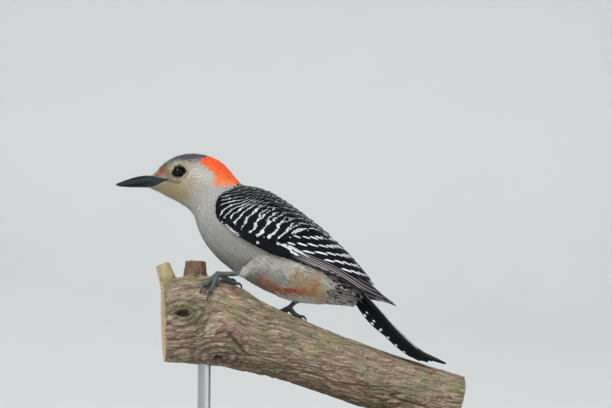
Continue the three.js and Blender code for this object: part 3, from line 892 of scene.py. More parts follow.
# Each coat: its share of the skin and its vane, and in millimetres how far apart the vanes stand,
# how deep their roots lie, how high their tips stand and how far their edges curve down.
COATS = {
    "coat_face": (on_head, small_vane, 0.62, 0.75, 0.1, 0.1),
    "coat_neck": (on_neck, broad_vane, 0.8, 1.0, 0.15, 0.2),
    "coat_breast": (on_breast, broad_vane, 0.92, 1.1, 0.25, 0.25),
    "coat_belly": (on_belly, broad_vane, 0.92, 1.1, 0.7, 0.25),
}
coat_tree = coat_pattern()
coat_finish = soft_plumage("soft_plumage")
for number, (name, (share, vane, spacing, root, tip, camber)) in enumerate(COATS.items()):
    cover = skin.data.attributes.new("cover", "FLOAT", "POINT")
    cover.data.foreach_set("value", (share * open_skin).astype(np.float32))
    settings = {
        "Form": form_shape,
        "Vane": vane,
        "Spacing": spacing * MM,
        "Cover": "cover",
        "Root depth": root * MM,
        "Tip height": tip * MM,
        "Camber": camber * MM,
        "Seed": number,
        "Finish": coat_finish,
    }
    piece = grown_coat(name, skin, coat_tree, settings)
    skin.data.attributes.remove(skin.data.attributes["cover"])
    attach(piece, "root")
for spare in (form_shape, small_vane, broad_vane):
    bpy.data.objects.remove(spare)


# ---- The barred cloak ----
# The mantle, the scapulars and the wing coverts: black feathers with white bars that line up from
# one to the next. Each is a thin vane, laid in rows like tiles from the nape to the long quills.
def vane_faces(rows, columns):
    """The quads of one closed vane: its face, its back, and the rim between them."""
    face = grid_faces(rows, columns)
    count = rows * columns
    rim = list(range(columns))
    rim += [row * columns + columns - 1 for row in range(1, rows)]
    rim += list(range(count - 2, count - columns - 1, -1))
    rim += [row * columns for row in range(rows - 2, 0, -1)]
    after = rim[1:] + rim[:1]
    edge = [[first, first + count, second + count, second] for first, second in zip(rim, after)]
    return np.concatenate([face, face[:, ::-1] + count, np.array(edge)])


def straight_paths(roots, tips, rows):
    """The middle lines of vanes that run straight across a chart from their roots to their tips."""
    return roots[:, None] + (tips - roots)[:, None] * np.linspace(0, 1, rows)[None, :, None]


def lay_vanes(
    chart,
    paths,
    half_width,
    root_height,
    tip_height,
    columns=5,
    tilt=0.0,
    camber=0.3,
    thick=0.18,
    taper=0.55,
    blunt=3.0,
    waist=0.6,
):
    """Vanes along middle lines in a chart's coordinates. Gives their points and where each lies."""
    count, rows = paths.shape[:2]
    sizes = (half_width, root_height, tip_height)
    half, root, tip = (np.broadcast_to(size, count)[:, None, None] for size in sizes)
    share = np.linspace(0, 1, rows)
    down = share[None, :, None]
    across = np.linspace(-1, 1, columns)
    stretch = chart.read(chart.stretch, paths[..., 0], paths[..., 1])
    run = np.gradient(paths, axis=1) * stretch
    run /= np.linalg.norm(run, axis=-1, keepdims=True)
    side = np.stack([-run[..., 1], run[..., 0]], -1)
    narrowing = np.clip((share - taper) / (1 - taper), 0, 1) ** blunt
    outline = np.sqrt(np.clip(1 - narrowing, 0.02, 1)) * (waist + (1 - waist) * smoothstep(share, 0, 0.4))
    offset = half * outline[None, :, None] * across
    place = paths[:, :, None] + offset[..., None] * (side / stretch)[:, :, None]
    surface = chart.read(chart.points, place[..., 0], place[..., 1])
    facing = chart.read(chart.facing, place[..., 0], place[..., 1])
    rise = root * (1 - down) + tip * down + tilt * across - camber * across**2 * (0.4 + 0.6 * down)
    top = surface + facing * (rise + thick / 2)[..., None]
    bottom = surface + facing * (rise - thick / 2)[..., None]
    return {
        "points": np.stack([top, bottom], 1),
        "facing": facing,
        "place": place,
        "along": np.broadcast_to(down, place.shape[:3]),
        "across": np.broadcast_to(across, place.shape[:3]),
    }


def vane_piece(name, layers, finish, mirrored=False, settled=(0, 0, 0)):
    """One mesh of several layers of vanes, each with its own bars, whites and tones."""
    points, faces, patches = [], [], []
    values = {key: [] for key in ("along", "across", "bar", "fork", "white", "rim", "fade", "dim", "tone")}
    for layer in layers:
        count, _, rows, columns = layer["points"].shape[:4]
        each = vane_faces(rows, columns)
        corner = layer["points"][0].reshape(-1, 3)[each[0]]
        outward = np.cross(corner[1] - corner[0], corner[3] - corner[0]) @ layer["facing"][0, 0, 0]
        if outward < 0:
            each = each[:, ::-1]
        start = sum(len(part) for part in points)
        size = 2 * rows * columns
        faces.append((start + np.arange(count)[:, None, None] * size + each[None]).reshape(-1, 4))
        points.append(layer["points"].reshape(-1, 3))
        for key, parts in values.items():
            table = np.broadcast_to(layer.get(key, 0.0), layer["along"].shape)
            parts.append(np.repeat(table[:, None], 2, 1).ravel())
        root = layer["place"][:, 0, columns // 2] * [1 / 140, 1 / layer["span"]]
        patch = np.stack([layer["along"], layer["across"] / 2], -1) * 0.003
        patches.append(np.repeat((root[:, None, None] + patch)[:, None], 2, 1).reshape(-1, 2))
    points = np.concatenate(points)
    faces = np.concatenate(faces)
    if mirrored:
        points = points * [1, -1, 1]
        points = points + smoothstep(points[:, :1], 15, 55) * settled
        faces = faces[:, ::-1]
    attributes = [(key, np.concatenate(parts)) for key, parts in values.items()]
    made = mesh_object(name, points, faces, finish, attributes)
    bake = made.data.uv_layers.new(name="OFBake", do_init=False)
    patches = np.concatenate(patches)
    low, high = patches.min(0), patches.max(0)
    patches = 0.02 + 0.96 * (patches - low) / (high - low)
    bake.uv.foreach_set("vector", patches[faces.ravel()].astype(np.float32).ravel())
    made.data.set_sharp_from_angle(angle=math.radians(50))
    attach(made, "root")
    return made


BLACK = (8, 9, 16)
BROWN = (40, 35, 38)
WHITE = (224, 226, 231)
RIM = (186, 178, 180)


def barred_plumage(name, dark, light, gloss, ragged_by):
    """Feathers whose light bars lie where their bar value nears a half, as wide as their white value."""
    finish = Finish(name, {"Roughness": gloss, "Specular IOR Level": 0.12})
    ragged = (finish.cloud(finish.place(), 0.9, 2) - 0.5) * ragged_by
    off_middle = finish.maths("ABSOLUTE", finish.maths("FRACT", finish.attribute("bar") + ragged) - 0.5)
    off_middle = finish.maths("ABSOLUTE", off_middle - finish.attribute("fork"))
    pale = finish.rise(finish.attribute("white") * 0.5 - off_middle, 0, 0.06)
    tone = finish.attribute("tone")
    off_shaft = finish.maths("ABSOLUTE", finish.attribute("across"))
    barbs = finish.maths("SINE", (finish.attribute("along") * 9 + off_shaft * 2) * 9)
    bright = 0.9 + 0.1 * tone + 0.04 * barbs - finish.attribute("dim")
    web_paint = finish.blend(finish.rise(off_shaft, 0.02, 0.08), (120, 118, 118), light)
    dark_paint = finish.blend(finish.attribute("fade"), dark, BROWN)
    dark_paint = finish.shaded(1 + 0.25 * tone + 0.1 * barbs, dark_paint)
    rim = finish.attribute("rim") * finish.rise(off_shaft, 0.84, 0.9)
    paint = finish.blend(rim, finish.blend(pale, dark_paint, finish.shaded(bright, web_paint)), RIM)
    return finish.finished(paint, barbs, 0.03)


# Along the back: the distance from bar to bar, how far the feathers fluff out, and the angle of the
# cloak's lower edge. The bars themselves sweep back as they rise, by the angle round the back.
BAR_STEPS = [(-20, 5.4), (-6, 4.8), (3, 3.3), (8, 3.1), (14, 4.4), (20, 6.2), (60, 5.8)]
BAR_SWEEP = [(0, 24), (16, 22), (28, 17.5), (38, 12.5), (48, 7.5), (58, 3), (68, 0.8), (80, 0)]
BAR_MIDDLE = 24.7  # where one bar's middle lies
CLOAK_PUFF = [(3, 0), (10, 1.2), (20, 1.9), (30, 1.4), (42, 0.6), (60, 0.1)]
CLOAK_EDGE = [
    *((-6, 93), (0, 103), (7, 114), (14, 114), (23, 110)),
    *((30, 103), (36, 98), (42, 88), (50, 68), (62, 40)),
]
CLOAK_START = -6.0
CLOAK_END = 54  # where the last row is rooted

chance = np.random.default_rng(7)


def each_vane(low, high, count):
    """A random number for each of some vanes."""
    return chance.uniform(low, high, (count, 1, 1))


def bar_cycles(run):
    """How many bars lie before a place. They are fine by the nape, and wider further back."""
    step = 0.5
    places = np.arange(-40, 130, step)
    return np.interp(run, places, np.cumsum(step / on_curve(places, BAR_STEPS)))


def round_reach(along, angle):
    """How many millimetres a degree round the body takes up."""
    return body_chart.read(body_chart.stretch, np.array([along]), np.array([angle]))[0, 1]


def cloak_layer():
    """Rows of feathers from the nape back, longer and broader in each row."""
    roots, tips, halves = [], [], []
    along = CLOAK_START
    row = 0
    while along < CLOAK_END:
        length = np.interp(along, [-4, 12, 35, 60], [5.2, 8.5, 12, 15])
        width = 0.58 * length
        edge = on_curve(along + length, CLOAK_EDGE)
        reach = round_reach(along, 50.0)
        step = 0.6 * width / reach
        angles = np.arange(-0.5 * step * (row % 2), edge - 1, step)
        angles = angles + chance.uniform(-0.12, 0.12, len(angles)) * step
        starts = along + chance.uniform(-0.35, 0.35, len(angles))
        behind = starts > on_curve(np.abs(angles), MANTLE_FRONT) - 1.2
        angles, starts = angles[behind], starts[behind]
        sweep = np.interp(angles, [0, 25, 60, 100], [0, 14, 16, 8]) + chance.uniform(-4, 4, len(angles))
        lengths = length * chance.uniform(0.92, 1.08, len(angles))
        back, down = lengths * np.cos(np.radians(sweep)), lengths * np.sin(np.radians(sweep)) / reach
        roots.append(np.stack([starts, angles], -1))
        tips.append(np.stack([starts + back, angles + down], -1))
        halves.append(np.full(len(angles), width / 2) * chance.uniform(0.92, 1.08, len(angles)))
        along += 0.3 * length
        row += 1
    roots, tips, halves = map(np.concatenate, (roots, tips, halves))
    puff = on_curve(tips[:, 0], CLOAK_PUFF) * smoothstep(82 - tips[:, 1], 0, 40)
    lifts = (-1.15 + 0.75 * puff, -0.1 + puff)
    layer = lay_vanes(body_chart, straight_paths(roots, tips, 8), halves, *lifts, columns=7, camber=0.35)
    run, angle = layer["place"][..., 0], layer["place"][..., 1]
    off_shaft = np.abs(layer["across"])
    jitter = each_vane(-0.08, 0.08, len(roots))
    ahead = run - on_curve(np.abs(angle) - 22 * smoothstep(27 - run, 0, 18), BAR_SWEEP)
    edge = on_curve(run, CLOAK_EDGE)
    hook = 0.34 * smoothstep(angle - edge, -9, -3) * smoothstep(run, 14, 20)
    hook = hook + 0.1 * np.sin(np.radians(22 * angle) + ahead)
    layer["bar"] = bar_cycles(ahead) - bar_cycles(BAR_MIDDLE) + 0.5 + jitter + hook - 0.1 * off_shaft
    split_angle = 76 + 7 * np.sin(1.7 * np.floor(layer["bar"]) + 0.8)
    forked = smoothstep(split_angle - angle, -3, 12) * smoothstep(ahead, 2, 10) * smoothstep(56 - run, 0, 12)
    forked = forked * smoothstep(angle, 50, 60)
    layer["fork"] = 0.24 * forked
    low_end = smoothstep(edge - angle, 14, 4)
    above_edge = edge + 3 * smoothstep(24 - run, 0, 8) - angle
    shown = smoothstep(above_edge, -1, 2) * smoothstep(run, 3 - 0.2 * above_edge, 6 - 0.2 * above_edge)
    strength = each_vane(0.86, 1.12, len(roots))
    upper = smoothstep(74 - angle, 0, 30)
    pinch = 1 - (0.5 + 0.4 * upper) * smoothstep(off_shaft, 0.6 - 0.15 * upper, 1)
    layer["white"] = (0.28 + 0.17 * low_end - 0.06 * forked - 0.1 * upper) * shown * pinch * strength
    layer["dim"] = 0.6 * upper * smoothstep(60 - run, 0, 24)
    layer["tone"] = each_vane(-1, 1, len(roots))
    layer["span"] = 180
    return layer


SIDES = (("left", False), ("right", True))
wing_finish = barred_plumage("barred_plumage", BLACK, WHITE, 0.6, 0.17)
cloak = cloak_layer()
for side, mirrored in SIDES:
    vane_piece("cloak_" + side, [cloak], wing_finish, mirrored)


# ---- The folded wings ----
# Seen from outside: the primaries along the lower edge, the secondaries and tertials above them,
# and the black alula and primary coverts by the wrist. Upper quills lie on lower ones.
def wing_chart(tree, alongs):
    """The outer face of the left wing, from its upper edge, 0, to its lower one, 1."""
    angles = np.arange(10, 128, 1.5)
    shares = np.linspace(0, 1, 29)
    rows = []
    for along in alongs:
        reach = np.array([reach_of(tree, along, angle) for angle in angles])
        hit = np.flatnonzero(~np.isnan(reach))
        spread = np.interp(shares, [0, 1], [angles[hit[0]], angles[hit[-1]]])
        turns = np.radians(spread)
        outward = BACK_UP * np.cos(turns)[:, None] + LEFT * np.sin(turns)[:, None]
        reach = np.interp(spread, angles[hit], reach[hit])
        rows.append(BACK_ORIGIN + BACK_LINE * along + outward * reach[:, None])
    points = softened(np.array(rows), (1.5, 1.5))
    widths = np.linalg.norm(np.diff(points, axis=1), axis=2).sum(1)
    return Chart(alongs, shares, points, outward), widths


WING_ALONGS = np.arange(0, 124.1, 1.5)
WING_BAR_TOP = 148.7  # how high the uppermost of the level bars lies
WING_BAR_STEP = 4.85
WRIST_COVERTS = 12
left_chart, left_widths = wing_chart(left_wing, WING_ALONGS)


def width_at(along):
    """How wide the folded wing is at places along it."""
    return np.interp(along, WING_ALONGS, left_widths)


def wing_paths(starts, ends, rows):
    """Straight middle lines between places along the wing and up from its lower edge."""
    paths = straight_paths(np.array(starts, float), np.array(ends, float), rows)
    paths[..., 1] = 1 - paths[..., 1] / width_at(paths[..., 0])
    return paths


def quill_layer(starts, ends, halves, low, high, **shape):
    """Long narrow vanes of the wing, one over the next."""
    paths = wing_paths(starts, ends, 20)
    layer = lay_vanes(left_chart, paths, halves, low, high, columns=13, **shape)
    layer["tone"] = each_vane(-1, 1, len(starts))
    layer["span"] = 1.2
    return layer


def per_quill(values):
    """One value for each quill, shaped to spread over its rows and columns."""
    return np.array(values)[:, None, None]


def primaries():
    """The eight longest quills, brown towards their pale rimmed tips, with a white flash at their roots."""
    starts = [(40, 3.9 + 1.15 * k) for k in range(8)]
    tips = [113, 119, 123, 125.5, 122.5, 118, 112.5, 106]
    heights = [2.4, 2.4, 2.5, 2.2, 3.4, 5, 7.2, 9.6]
    shape = {"tilt": 0.32, "taper": 0.7, "blunt": 2.2, "camber": 0.15, "thick": 0.22}
    layer = quill_layer(starts, list(zip(tips, heights)), 3.4, -1.5, -0.45, **shape)
    run, across = layer["place"][..., 0], layer["across"]
    flash_start = per_quill([0, 0, 40, 41, 43, 46, 48, 50])
    flash_end = per_quill([0, 0, 46, 55, 52, 60, 56, 61]) + 7 * (across - 0.6)
    flash = smoothstep(run, flash_start, flash_start + 2) * smoothstep(flash_end - run, 0, 1.5)
    layer["bar"] = 0.5 + 0.36 * np.sin(run * 0.6 + 2.1 * per_quill(range(8)) + 4 * across)
    layer["white"] = 0.6 * flash * smoothstep(across, -0.1, 0.3)
    layer["fade"] = smoothstep(run, 52, 80)
    rims = per_quill([0, 0.3, 0.85, 0.6, 0.85, 0.7, 0.6, 0.35]) * (1 - 0.4 * smoothstep(run, 108, 120))
    layer["rim"] = rims * smoothstep(run, 52, 62) * smoothstep(across, 0, 0.1)
    return layer


def secondaries():
    """Ten broad quills with white notches across their outer webs, level with each other."""
    starts = [(40, 12.9 + 3 * k) for k in range(10)]
    tips = [99, 102, 104, 103, 99, 94, 89, 84, 79, 75]
    heights = [10, 11.9, 13.8, 15.7, 17.6, 19.6, 21.8, 24.2, 27, 30]
    shape = {"tilt": 0.42, "taper": 0.75, "blunt": 2.6, "camber": 0.2, "thick": 0.22}
    layer = quill_layer(starts, list(zip(tips, heights)), 4.9, -1.1, -0.1, **shape)
    across = layer["across"]
    surface = layer["points"][:, 0]
    x, z = surface[..., 0], surface[..., 2]
    jitter = each_vane(-0.1, 0.1, 10)
    below_top = WING_BAR_TOP - z - 0.1 * np.maximum(x - 18, 0)
    layer["bar"] = below_top / WING_BAR_STEP + jitter + 0.3 * (across - 0.7)
    web = np.interp(across, [0.52, 0.64, 0.8, 0.9], [0, 1, 1, 0])
    both_webs = np.interp(np.abs(across), [0.05, 0.15, 0.8, 0.9], [0, 1, 1, 0])
    web = np.where(per_quill(range(10)) == 9, both_webs, web)
    strength = each_vane(0.88, 1.1, 10)
    layer["white"] = 0.48 * web * strength * smoothstep(1 - layer["along"], 0, 0.03)
    layer["fade"] = 0.35 * smoothstep(layer["along"], 0.8, 1)
    return layer


def wrist_coverts():
    """The alula and the primary coverts: narrow black feathers along the lower edge."""
    starts, ends, halves = [], [], []
    for k in range(WRIST_COVERTS):
        start = 1.5 + 3.6 * k
        length = np.interp(k, [0, 4, 8, 11], [12, 19, 20, 11])
        lowest = np.interp(k, [7, 11], [1.2, 2.8])
        for low in (lowest, 3.6) if start + length < 42 else (lowest,):
            starts.append((start, low + 1.2))
            ends.append((start + length, low))
            halves.append(np.interp(k, [0, 3], [2.2, 2.7]))
    layer = quill_layer(starts, ends, halves, -0.95, 0.05, tilt=0.05, taper=0.6, camber=0.35)
    number = per_quill(range(len(starts)))
    run, across = layer["place"][..., 0], layer["across"]
    spot = 0.24 * (number == 8) * smoothstep(0.45 - np.abs(across), 0, 0.3)
    on_bend = smoothstep(21 - run, 0, 3) * smoothstep(run, 8, 10)
    bend = (number % 2 == 0) * on_bend * smoothstep(across, 0.2, 0.6)
    layer["bar"] = np.where(bend > 0, 0.5 + 0.4 * np.sin(1.6 * run + 5 * across), layer["along"] * 2 - 1.15)
    layer["white"] = spot + 0.6 * bend
    return layer


RIGHT_TIP_SHIFT = (0, -4, 3.2)  # the right wing's tip lies higher, and in over the rump
quills = [primaries(), secondaries(), wrist_coverts()]
for side, mirrored in SIDES:
    wing = vane_piece("wing_feathers_" + side, quills, wing_finish, mirrored, RIGHT_TIP_SHIFT)
    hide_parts("wing_" + side)


# ---- The tail and its coverts ----
# Twelve stiff pointed quills, the middle pair longest and uppermost, each pair outside it shorter
# and lower. Whitish coverts with black chevrons cover their roots below, and barred ones above.
TAIL_HALF = 15
TAIL_ROWS = 20
TAIL_SHARES = [1.04, 0.93, 0.9, 0.84, 0.76, 0.5]  # of the whole tail's length, from the middle pair out
TAIL_TIPS = [2.4, 3.8, 5.2, 6.3, 7.2, 7.4]  # from the middle line
TAIL_SHORT = 3.4  # how far short of the left half the right half ends
TAIL_TWIST = 0.4  # the closed tail leans over to the left, by this slope
TAIL_TENT = 0.83  # and both halves slope down from the middle pair, by this one
TAIL_RIDGE = [(0, 5), (0.35, 4.1), (0.65, 1.9), (0.82, 0.5), (1.05, 2)]  # the middle pair's height along it

tail_tree = tree_of(*node_surface("tail"))
tail_low, tail_high = np.array(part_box("tail")) / MM
tail_root = np.array([tail_low[0], 0, tail_high[2]])
tail_run = np.array([tail_high[0], 0, tail_low[2]]) - tail_root
tail_length = np.linalg.norm(tail_run)
tail_way = tail_run / tail_length
tail_up = np.array([-tail_way[2], 0, tail_way[0]])


def tail_chart():
    """The middle sheet of the tail: a smooth surface fitted between its upper and lower faces."""
    places, heights = [], []
    for along in np.linspace(0.12, 1, 28) * tail_length:
        for across in np.arange(-TAIL_HALF, TAIL_HALF + 0.1, 2.5):
            base = tail_root + tail_way * along + [0, across, 0]
            above = tail_tree.ray_cast(Vector(base + tail_up * 50), Vector(-tail_up), 100)[3]
            below = tail_tree.ray_cast(Vector(base - tail_up * 50), Vector(tail_up), 100)[3]
            if above is not None and below is not None:
                places.append((along / tail_length, across / TAIL_HALF))
                heights.append((below - above) / 2)
    places = np.array(places)
    powers = [(i, j) for i in range(5) for j in range(3)]
    terms = np.stack([places[:, 0] ** i * places[:, 1] ** j for i, j in powers], -1)
    weights = np.linalg.lstsq(terms, np.array(heights), rcond=None)[0]
    alongs, acrosses = np.arange(0, tail_length + 3, 2.0), np.arange(-20, 20.1, 2.0)
    share, side = np.meshgrid(alongs / tail_length, acrosses / TAIL_HALF, indexing="ij")
    lift = sum(weight * share**i * side**j for weight, (i, j) in zip(weights, powers))
    lift = lift + on_curve(share, TAIL_RIDGE) + TAIL_TWIST * side * TAIL_HALF
    lift = lift - TAIL_TENT * (np.sqrt((side * TAIL_HALF) ** 2 + 4) - 2)
    points = tail_root + tail_way * alongs[:, None, None] + tail_up * lift[..., None]
    points = points + np.array([0, 1, 0]) * acrosses[:, None]
    return Chart(alongs, acrosses, points, tail_up)


def tail_quills():
    """Both halves of the tail, held together but for their tips. The right half ends a little short."""
    starts, ends, bulges, halves, lifts, pairs, sides = [], [], [], [], [], [], []
    for pair, (share, tip) in enumerate(zip(TAIL_SHARES, TAIL_TIPS)):
        for side in (-1, 1):
            start = side * 1.2 * (pair + 0.5)
            starts.append((3 + pair, start))
            ends.append((tail_length * share - (TAIL_SHORT if side > 0 else 0), side * tip))
            bulges.append(side * 1.45 * (pair + 0.5) - (start + side * tip) / 2)
            halves.append(np.interp(pair, [0, 5], [4.8, 4.2]))
            lifts.append(0.85 - 0.34 * pair)
            pairs.append(pair)
            sides.append(side)
    paths = straight_paths(np.array(starts), np.array(ends), TAIL_ROWS)
    paths[..., 1] += np.array(bulges)[:, None] * np.sin(np.pi * np.linspace(0, 1, TAIL_ROWS) ** 0.75)
    lifts = np.array(lifts)
    shape = {"columns": 9, "camber": 0.3, "thick": 0.26, "taper": 0.5, "blunt": 1.35, "waist": 0.8}
    layer = lay_vanes(tail_chart(), paths, halves, lifts - 0.1, lifts, **shape)
    toward_rim = layer["across"] * per_quill(sides)
    last, second, middle = [per_quill(pairs) == pair for pair in (5, 4, 0)]
    run = layer["place"][..., 0]
    notches = 0.44 * smoothstep(toward_rim, 0.56, 0.7) * smoothstep(0.97 - toward_rim, 0, 0.08)
    notches = notches * smoothstep(run, 8, 14)
    inner_web = 0.75 * middle * smoothstep(0.16 - np.abs(toward_rim), 0, 0.06)
    inner_web = inner_web * smoothstep(0.78 * tail_length - run, 0, 6)
    layer["bar"] = np.where(middle, 0.5, run / 6.6 + 0.25 * toward_rim)
    layer["white"] = notches * (last + 0.8 * second) + inner_web
    layer["dim"] = 0.4 * middle
    layer["tone"] = each_vane(-1, 1, len(pairs))
    layer["span"] = 40
    return layer


def covert_layer(first, last, low_angle, high_angle, drawn_in, length, width, heights):
    """Rows of tail coverts on the body, between two angles round it."""
    roots, tips = [], []
    for row, along in enumerate(np.arange(first, last, 0.26 * length)):
        step = 0.55 * width / max(round_reach(along, (low_angle + high_angle) / 2), 0.08)
        low = low_angle + on_curve(along, drawn_in)
        angles = np.arange(low + 0.5 * step * (row % 2), high_angle, step)
        angles = angles + chance.uniform(-0.15, 0.15, len(angles)) * step
        lengths = length * chance.uniform(0.88, 1.1, len(angles))
        roots.append(np.stack([np.full(len(angles), along), angles], -1))
        tips.append(np.stack([along + lengths, angles + chance.uniform(-4, 4, len(angles))], -1))
    roots, tips = np.concatenate(roots), np.concatenate(tips)
    layer = lay_vanes(body_chart, straight_paths(roots, tips, 8), width / 2, *heights, columns=7, camber=0.3)
    chevron = layer["along"] * 1.9 + 0.35 - 1.1 * np.abs(layer["across"])
    layer["bar"] = chevron + each_vane(-0.15, 0.15, len(roots))
    layer["tone"] = each_vane(-1, 1, len(roots))
    layer["span"] = 180
    return layer


tail_finish = barred_plumage("tail_plumage", (5, 6, 9), WHITE, 0.5, 0.15)
tail = vane_piece("tail_quills", [tail_quills()], tail_finish)
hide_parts("tail")
vent_finish = barred_plumage("chevron_plumage", (34, 32, 34), (184, 181, 172), 0.75, 0.14)
under = covert_layer(73, 99, 100, 181, [(73, 0), (86, 8), (100, 42)], 12.5, 8, (-0.9, 0.4))
under_angle = under["place"][..., 1]
marked = each_vane(0, 1, len(under["tone"])) > 0.55
# Towards the wing's edge the coverts are painted darker, and their pale share shrinks: painted shade under
# the wing.
under["dim"] = 0.56 * smoothstep(168 - under_angle, 0, 50)
chevron = marked * smoothstep(under["along"], 0.3, 0.5)
under["white"] = 1.1 - 0.4 * chevron - 0.4 * smoothstep(122 - under_angle, 0, 18)
over = covert_layer(66, 98, 0, 40, [(66, 0), (98, 0)], 10, 6.0, (-2.6, -1.4))
over["white"] = 0.6
for side, mirrored in SIDES:
    vane_piece("tail_coverts_" + side, [under, over], vent_finish, mirrored)


# ---- The eyes and their lids ----
# Glass eyes, nearly black with a dark maroon iris, set in the sockets under thin dark lids whose
# corners come to a point.
IRIS_RADIUS = 3.3
PUPIL_RADIUS = 1.9
LID_HALF_WIDTH = 4.3
LID_HALF_HEIGHT = 3.35
LID_OPENING = 2.95
LID_TILT = 0.14  # the rear corner is the higher
LID_SKIN = (4.25, 3.15)  # how far from the pupil the bare skin reaches, along and up


def ball(centre, radius, rings, segments):
    """A round ball whose poles face left and right."""
    lean = np.linspace(0, math.pi, rings + 1)[1:-1, None]
    turn = np.linspace(0, 2 * math.pi, segments + 1)[None, :-1]
    shell = np.stack([np.sin(lean) * np.cos(turn), np.cos(lean) + 0 * turn, np.sin(lean) * np.sin(turn)], -1)
    points = np.concatenate([shell.reshape(-1, 3), [[0, 1, 0], [0, -1, 0]]]) * radius + centre
    quads = grid_faces(rings - 1, segments, closed=True).tolist()
    last = (rings - 2) * segments
    top = [[(i + 1) % segments, i, (rings - 1) * segments] for i in range(segments)]
    end = [[last + i, last + (i + 1) % segments, (rings - 1) * segments + 1] for i in range(segments)]
    return points, quads, top + end


def mixed_mesh(name, points, faces, material):
    """A smooth mesh object of faces that have three or four sides, turned to face outwards."""
    mesh = bpy.data.meshes.new(name)
    mesh.from_pydata((np.asarray(points) * MM).tolist(), [], faces)
    work = bmesh.new()
    work.from_mesh(mesh)
    bmesh.ops.recalc_face_normals(work, faces=work.faces)
    work.to_mesh(mesh)
    work.free()
    mesh.polygons.foreach_set("use_smooth", np.ones(len(mesh.polygons), bool))
    mesh.materials.append(material)
    return placed(name, mesh)


glass = {"Roughness": 0.06, "Specular IOR Level": 0.12, "Coat Weight": 0.1, "Coat Roughness": 0.02}
eye_finish = Finish("eye_glass", glass)
eye_x, _, eye_z = eye_finish.parts(eye_finish.place())
from_pupil = ((eye_x - EYE_PLACE[0]) ** 2 + (eye_z - EYE_PLACE[2]) ** 2) ** 0.5
iris_grain = eye_finish.cloud(eye_finish.place(), 2.5, 3)
in_iris = eye_finish.rise(from_pupil, PUPIL_RADIUS - 0.15, PUPIL_RADIUS + 0.15)
past_iris = eye_finish.rise(from_pupil, IRIS_RADIUS - 0.5, IRIS_RADIUS)
iris = eye_finish.blend(iris_grain, (13, 6, 5), (25, 10, 8))
iris = eye_finish.blend(past_iris, iris, (10, 6, 5))
eye_material = eye_finish.finished(eye_finish.blend(in_iris, (3, 3, 4), iris))

lid_finish = Finish("lid_skin", {"Roughness": 0.55, "Specular IOR Level": 0.15})
lid_grain = lid_finish.cloud(lid_finish.place(), 5, 2)
lid_x, _, lid_z = lid_finish.parts(lid_finish.place())
from_front = lid_x - EYE_PLACE[0]
from_middle = lid_z - EYE_PLACE[2] - LID_TILT * from_front
lid_rim = ((from_front / LID_SKIN[0]) ** 2 + (from_middle / LID_SKIN[1]) ** 2) ** 0.5
lid_paint = lid_finish.blend(lid_grain, (7, 5, 5), (18, 13, 12))
lid_paint = lid_finish.blend(lid_finish.rise(lid_rim, 0.98, 1.1), lid_paint, (118, 108, 90))
lid_material = lid_finish.finished(lid_paint, lid_grain, 0.1)


def face_at(x, z):
    """How far out to the left the face lies, at places seen from the side."""
    hits = [form.ray_cast(Vector((a, -40, b)), Vector((0, 1, 0)), 40)[0] for a, b in np.broadcast(x, z)]
    return np.array([0 if hit is None else -hit.y for hit in hits])


def lid_ring(way):
    """The two lids as one skin with a round opening and pointed corners, closed behind."""
    turn = np.linspace(0, 2 * math.pi, 73)[:-1]
    rise = np.sin(turn) * LID_HALF_HEIGHT * (1 - 0.3 * np.abs(np.cos(turn)) ** 5)
    almond = np.stack([np.cos(turn) * LID_HALF_WIDTH, rise], -1)
    almond[:, 1] += LID_TILT * almond[:, 0]
    circle = np.stack([np.cos(turn), np.sin(turn)], -1) * LID_OPENING
    rows = [(almond * [1.02, 1.2], -0.7, False)]
    for share, lift in ((1, 0.4), (0.6, 0.7), (0.25, 0.7)):
        rows.append((circle + (almond - circle) * share, lift, False))
    for size, lift in ((1.03, 0.5), (0.97, 0.3), (0.98, -0.15), (1.08, -0.7)):
        rows.append((circle * size, lift, True))
    rings = []
    for flat, lift, on_ball in rows:
        x, z = EYE_PLACE[0] + flat[:, 0], EYE_PLACE[2] + flat[:, 1]
        if on_ball:
            reach = -EYE_PLACE[1] + np.sqrt(EYE_RADIUS**2 - (flat**2).sum(1)) + lift
        else:
            reach = face_at(x, z) - 0.1 + lift
        rings.append(np.stack([x, way * reach, z], -1))
    rings = np.array(rings)
    return rings.reshape(-1, 3), len(rings), len(turn)


for side, way in (("left", -1), ("right", 1)):
    points, quads, tips = ball(EYE_PLACE * [1, -way, 1], EYE_RADIUS, 28, 48)
    eye = mixed_mesh("eyeball_" + side, points, quads + tips, eye_material)
    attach(eye, "root")
    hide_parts("eye_" + side)
    points, rings, sides = lid_ring(way)
    ring_faces = grid_faces(rings + 1, sides, closed=True) % (rings * sides)
    lids = mixed_mesh("lids_" + side, points, ring_faces.tolist(), lid_material)
    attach(lids, "root")


# ---- The bill ----
# Two horn mandibles, slate black with a blue sheen, straight ridged and chisel tipped. Their roots
# lie inside the face under stiff forward bristles.
BILL_STEPS = 44
BILL_AROUND = 15
BILL_END = -86.6  # where the corners of the gape lie
GAPE_HEIGHT = 186.85


def slice_of(points, faces, x):
    """Where a mesh crosses a plane across the bill: its lowest, highest and widest."""
    edges = np.concatenate([faces[:, [0, 1]], faces[:, [1, 2]], faces[:, [2, 0]]])
    start, end = points[edges[:, 0]], points[edges[:, 1]]
    crossing = (start[:, 0] - x) * (end[:, 0] - x) <= 0
    start, end = start[crossing], end[crossing]
    share = (x - start[:, 0]) / np.where(end[:, 0] == start[:, 0], 1, end[:, 0] - start[:, 0])
    cut = start + (end - start) * np.clip(share, 0, 1)[:, None]
    return cut[:, 2].min(), cut[:, 2].max(), np.abs(cut[:, 1]).max()


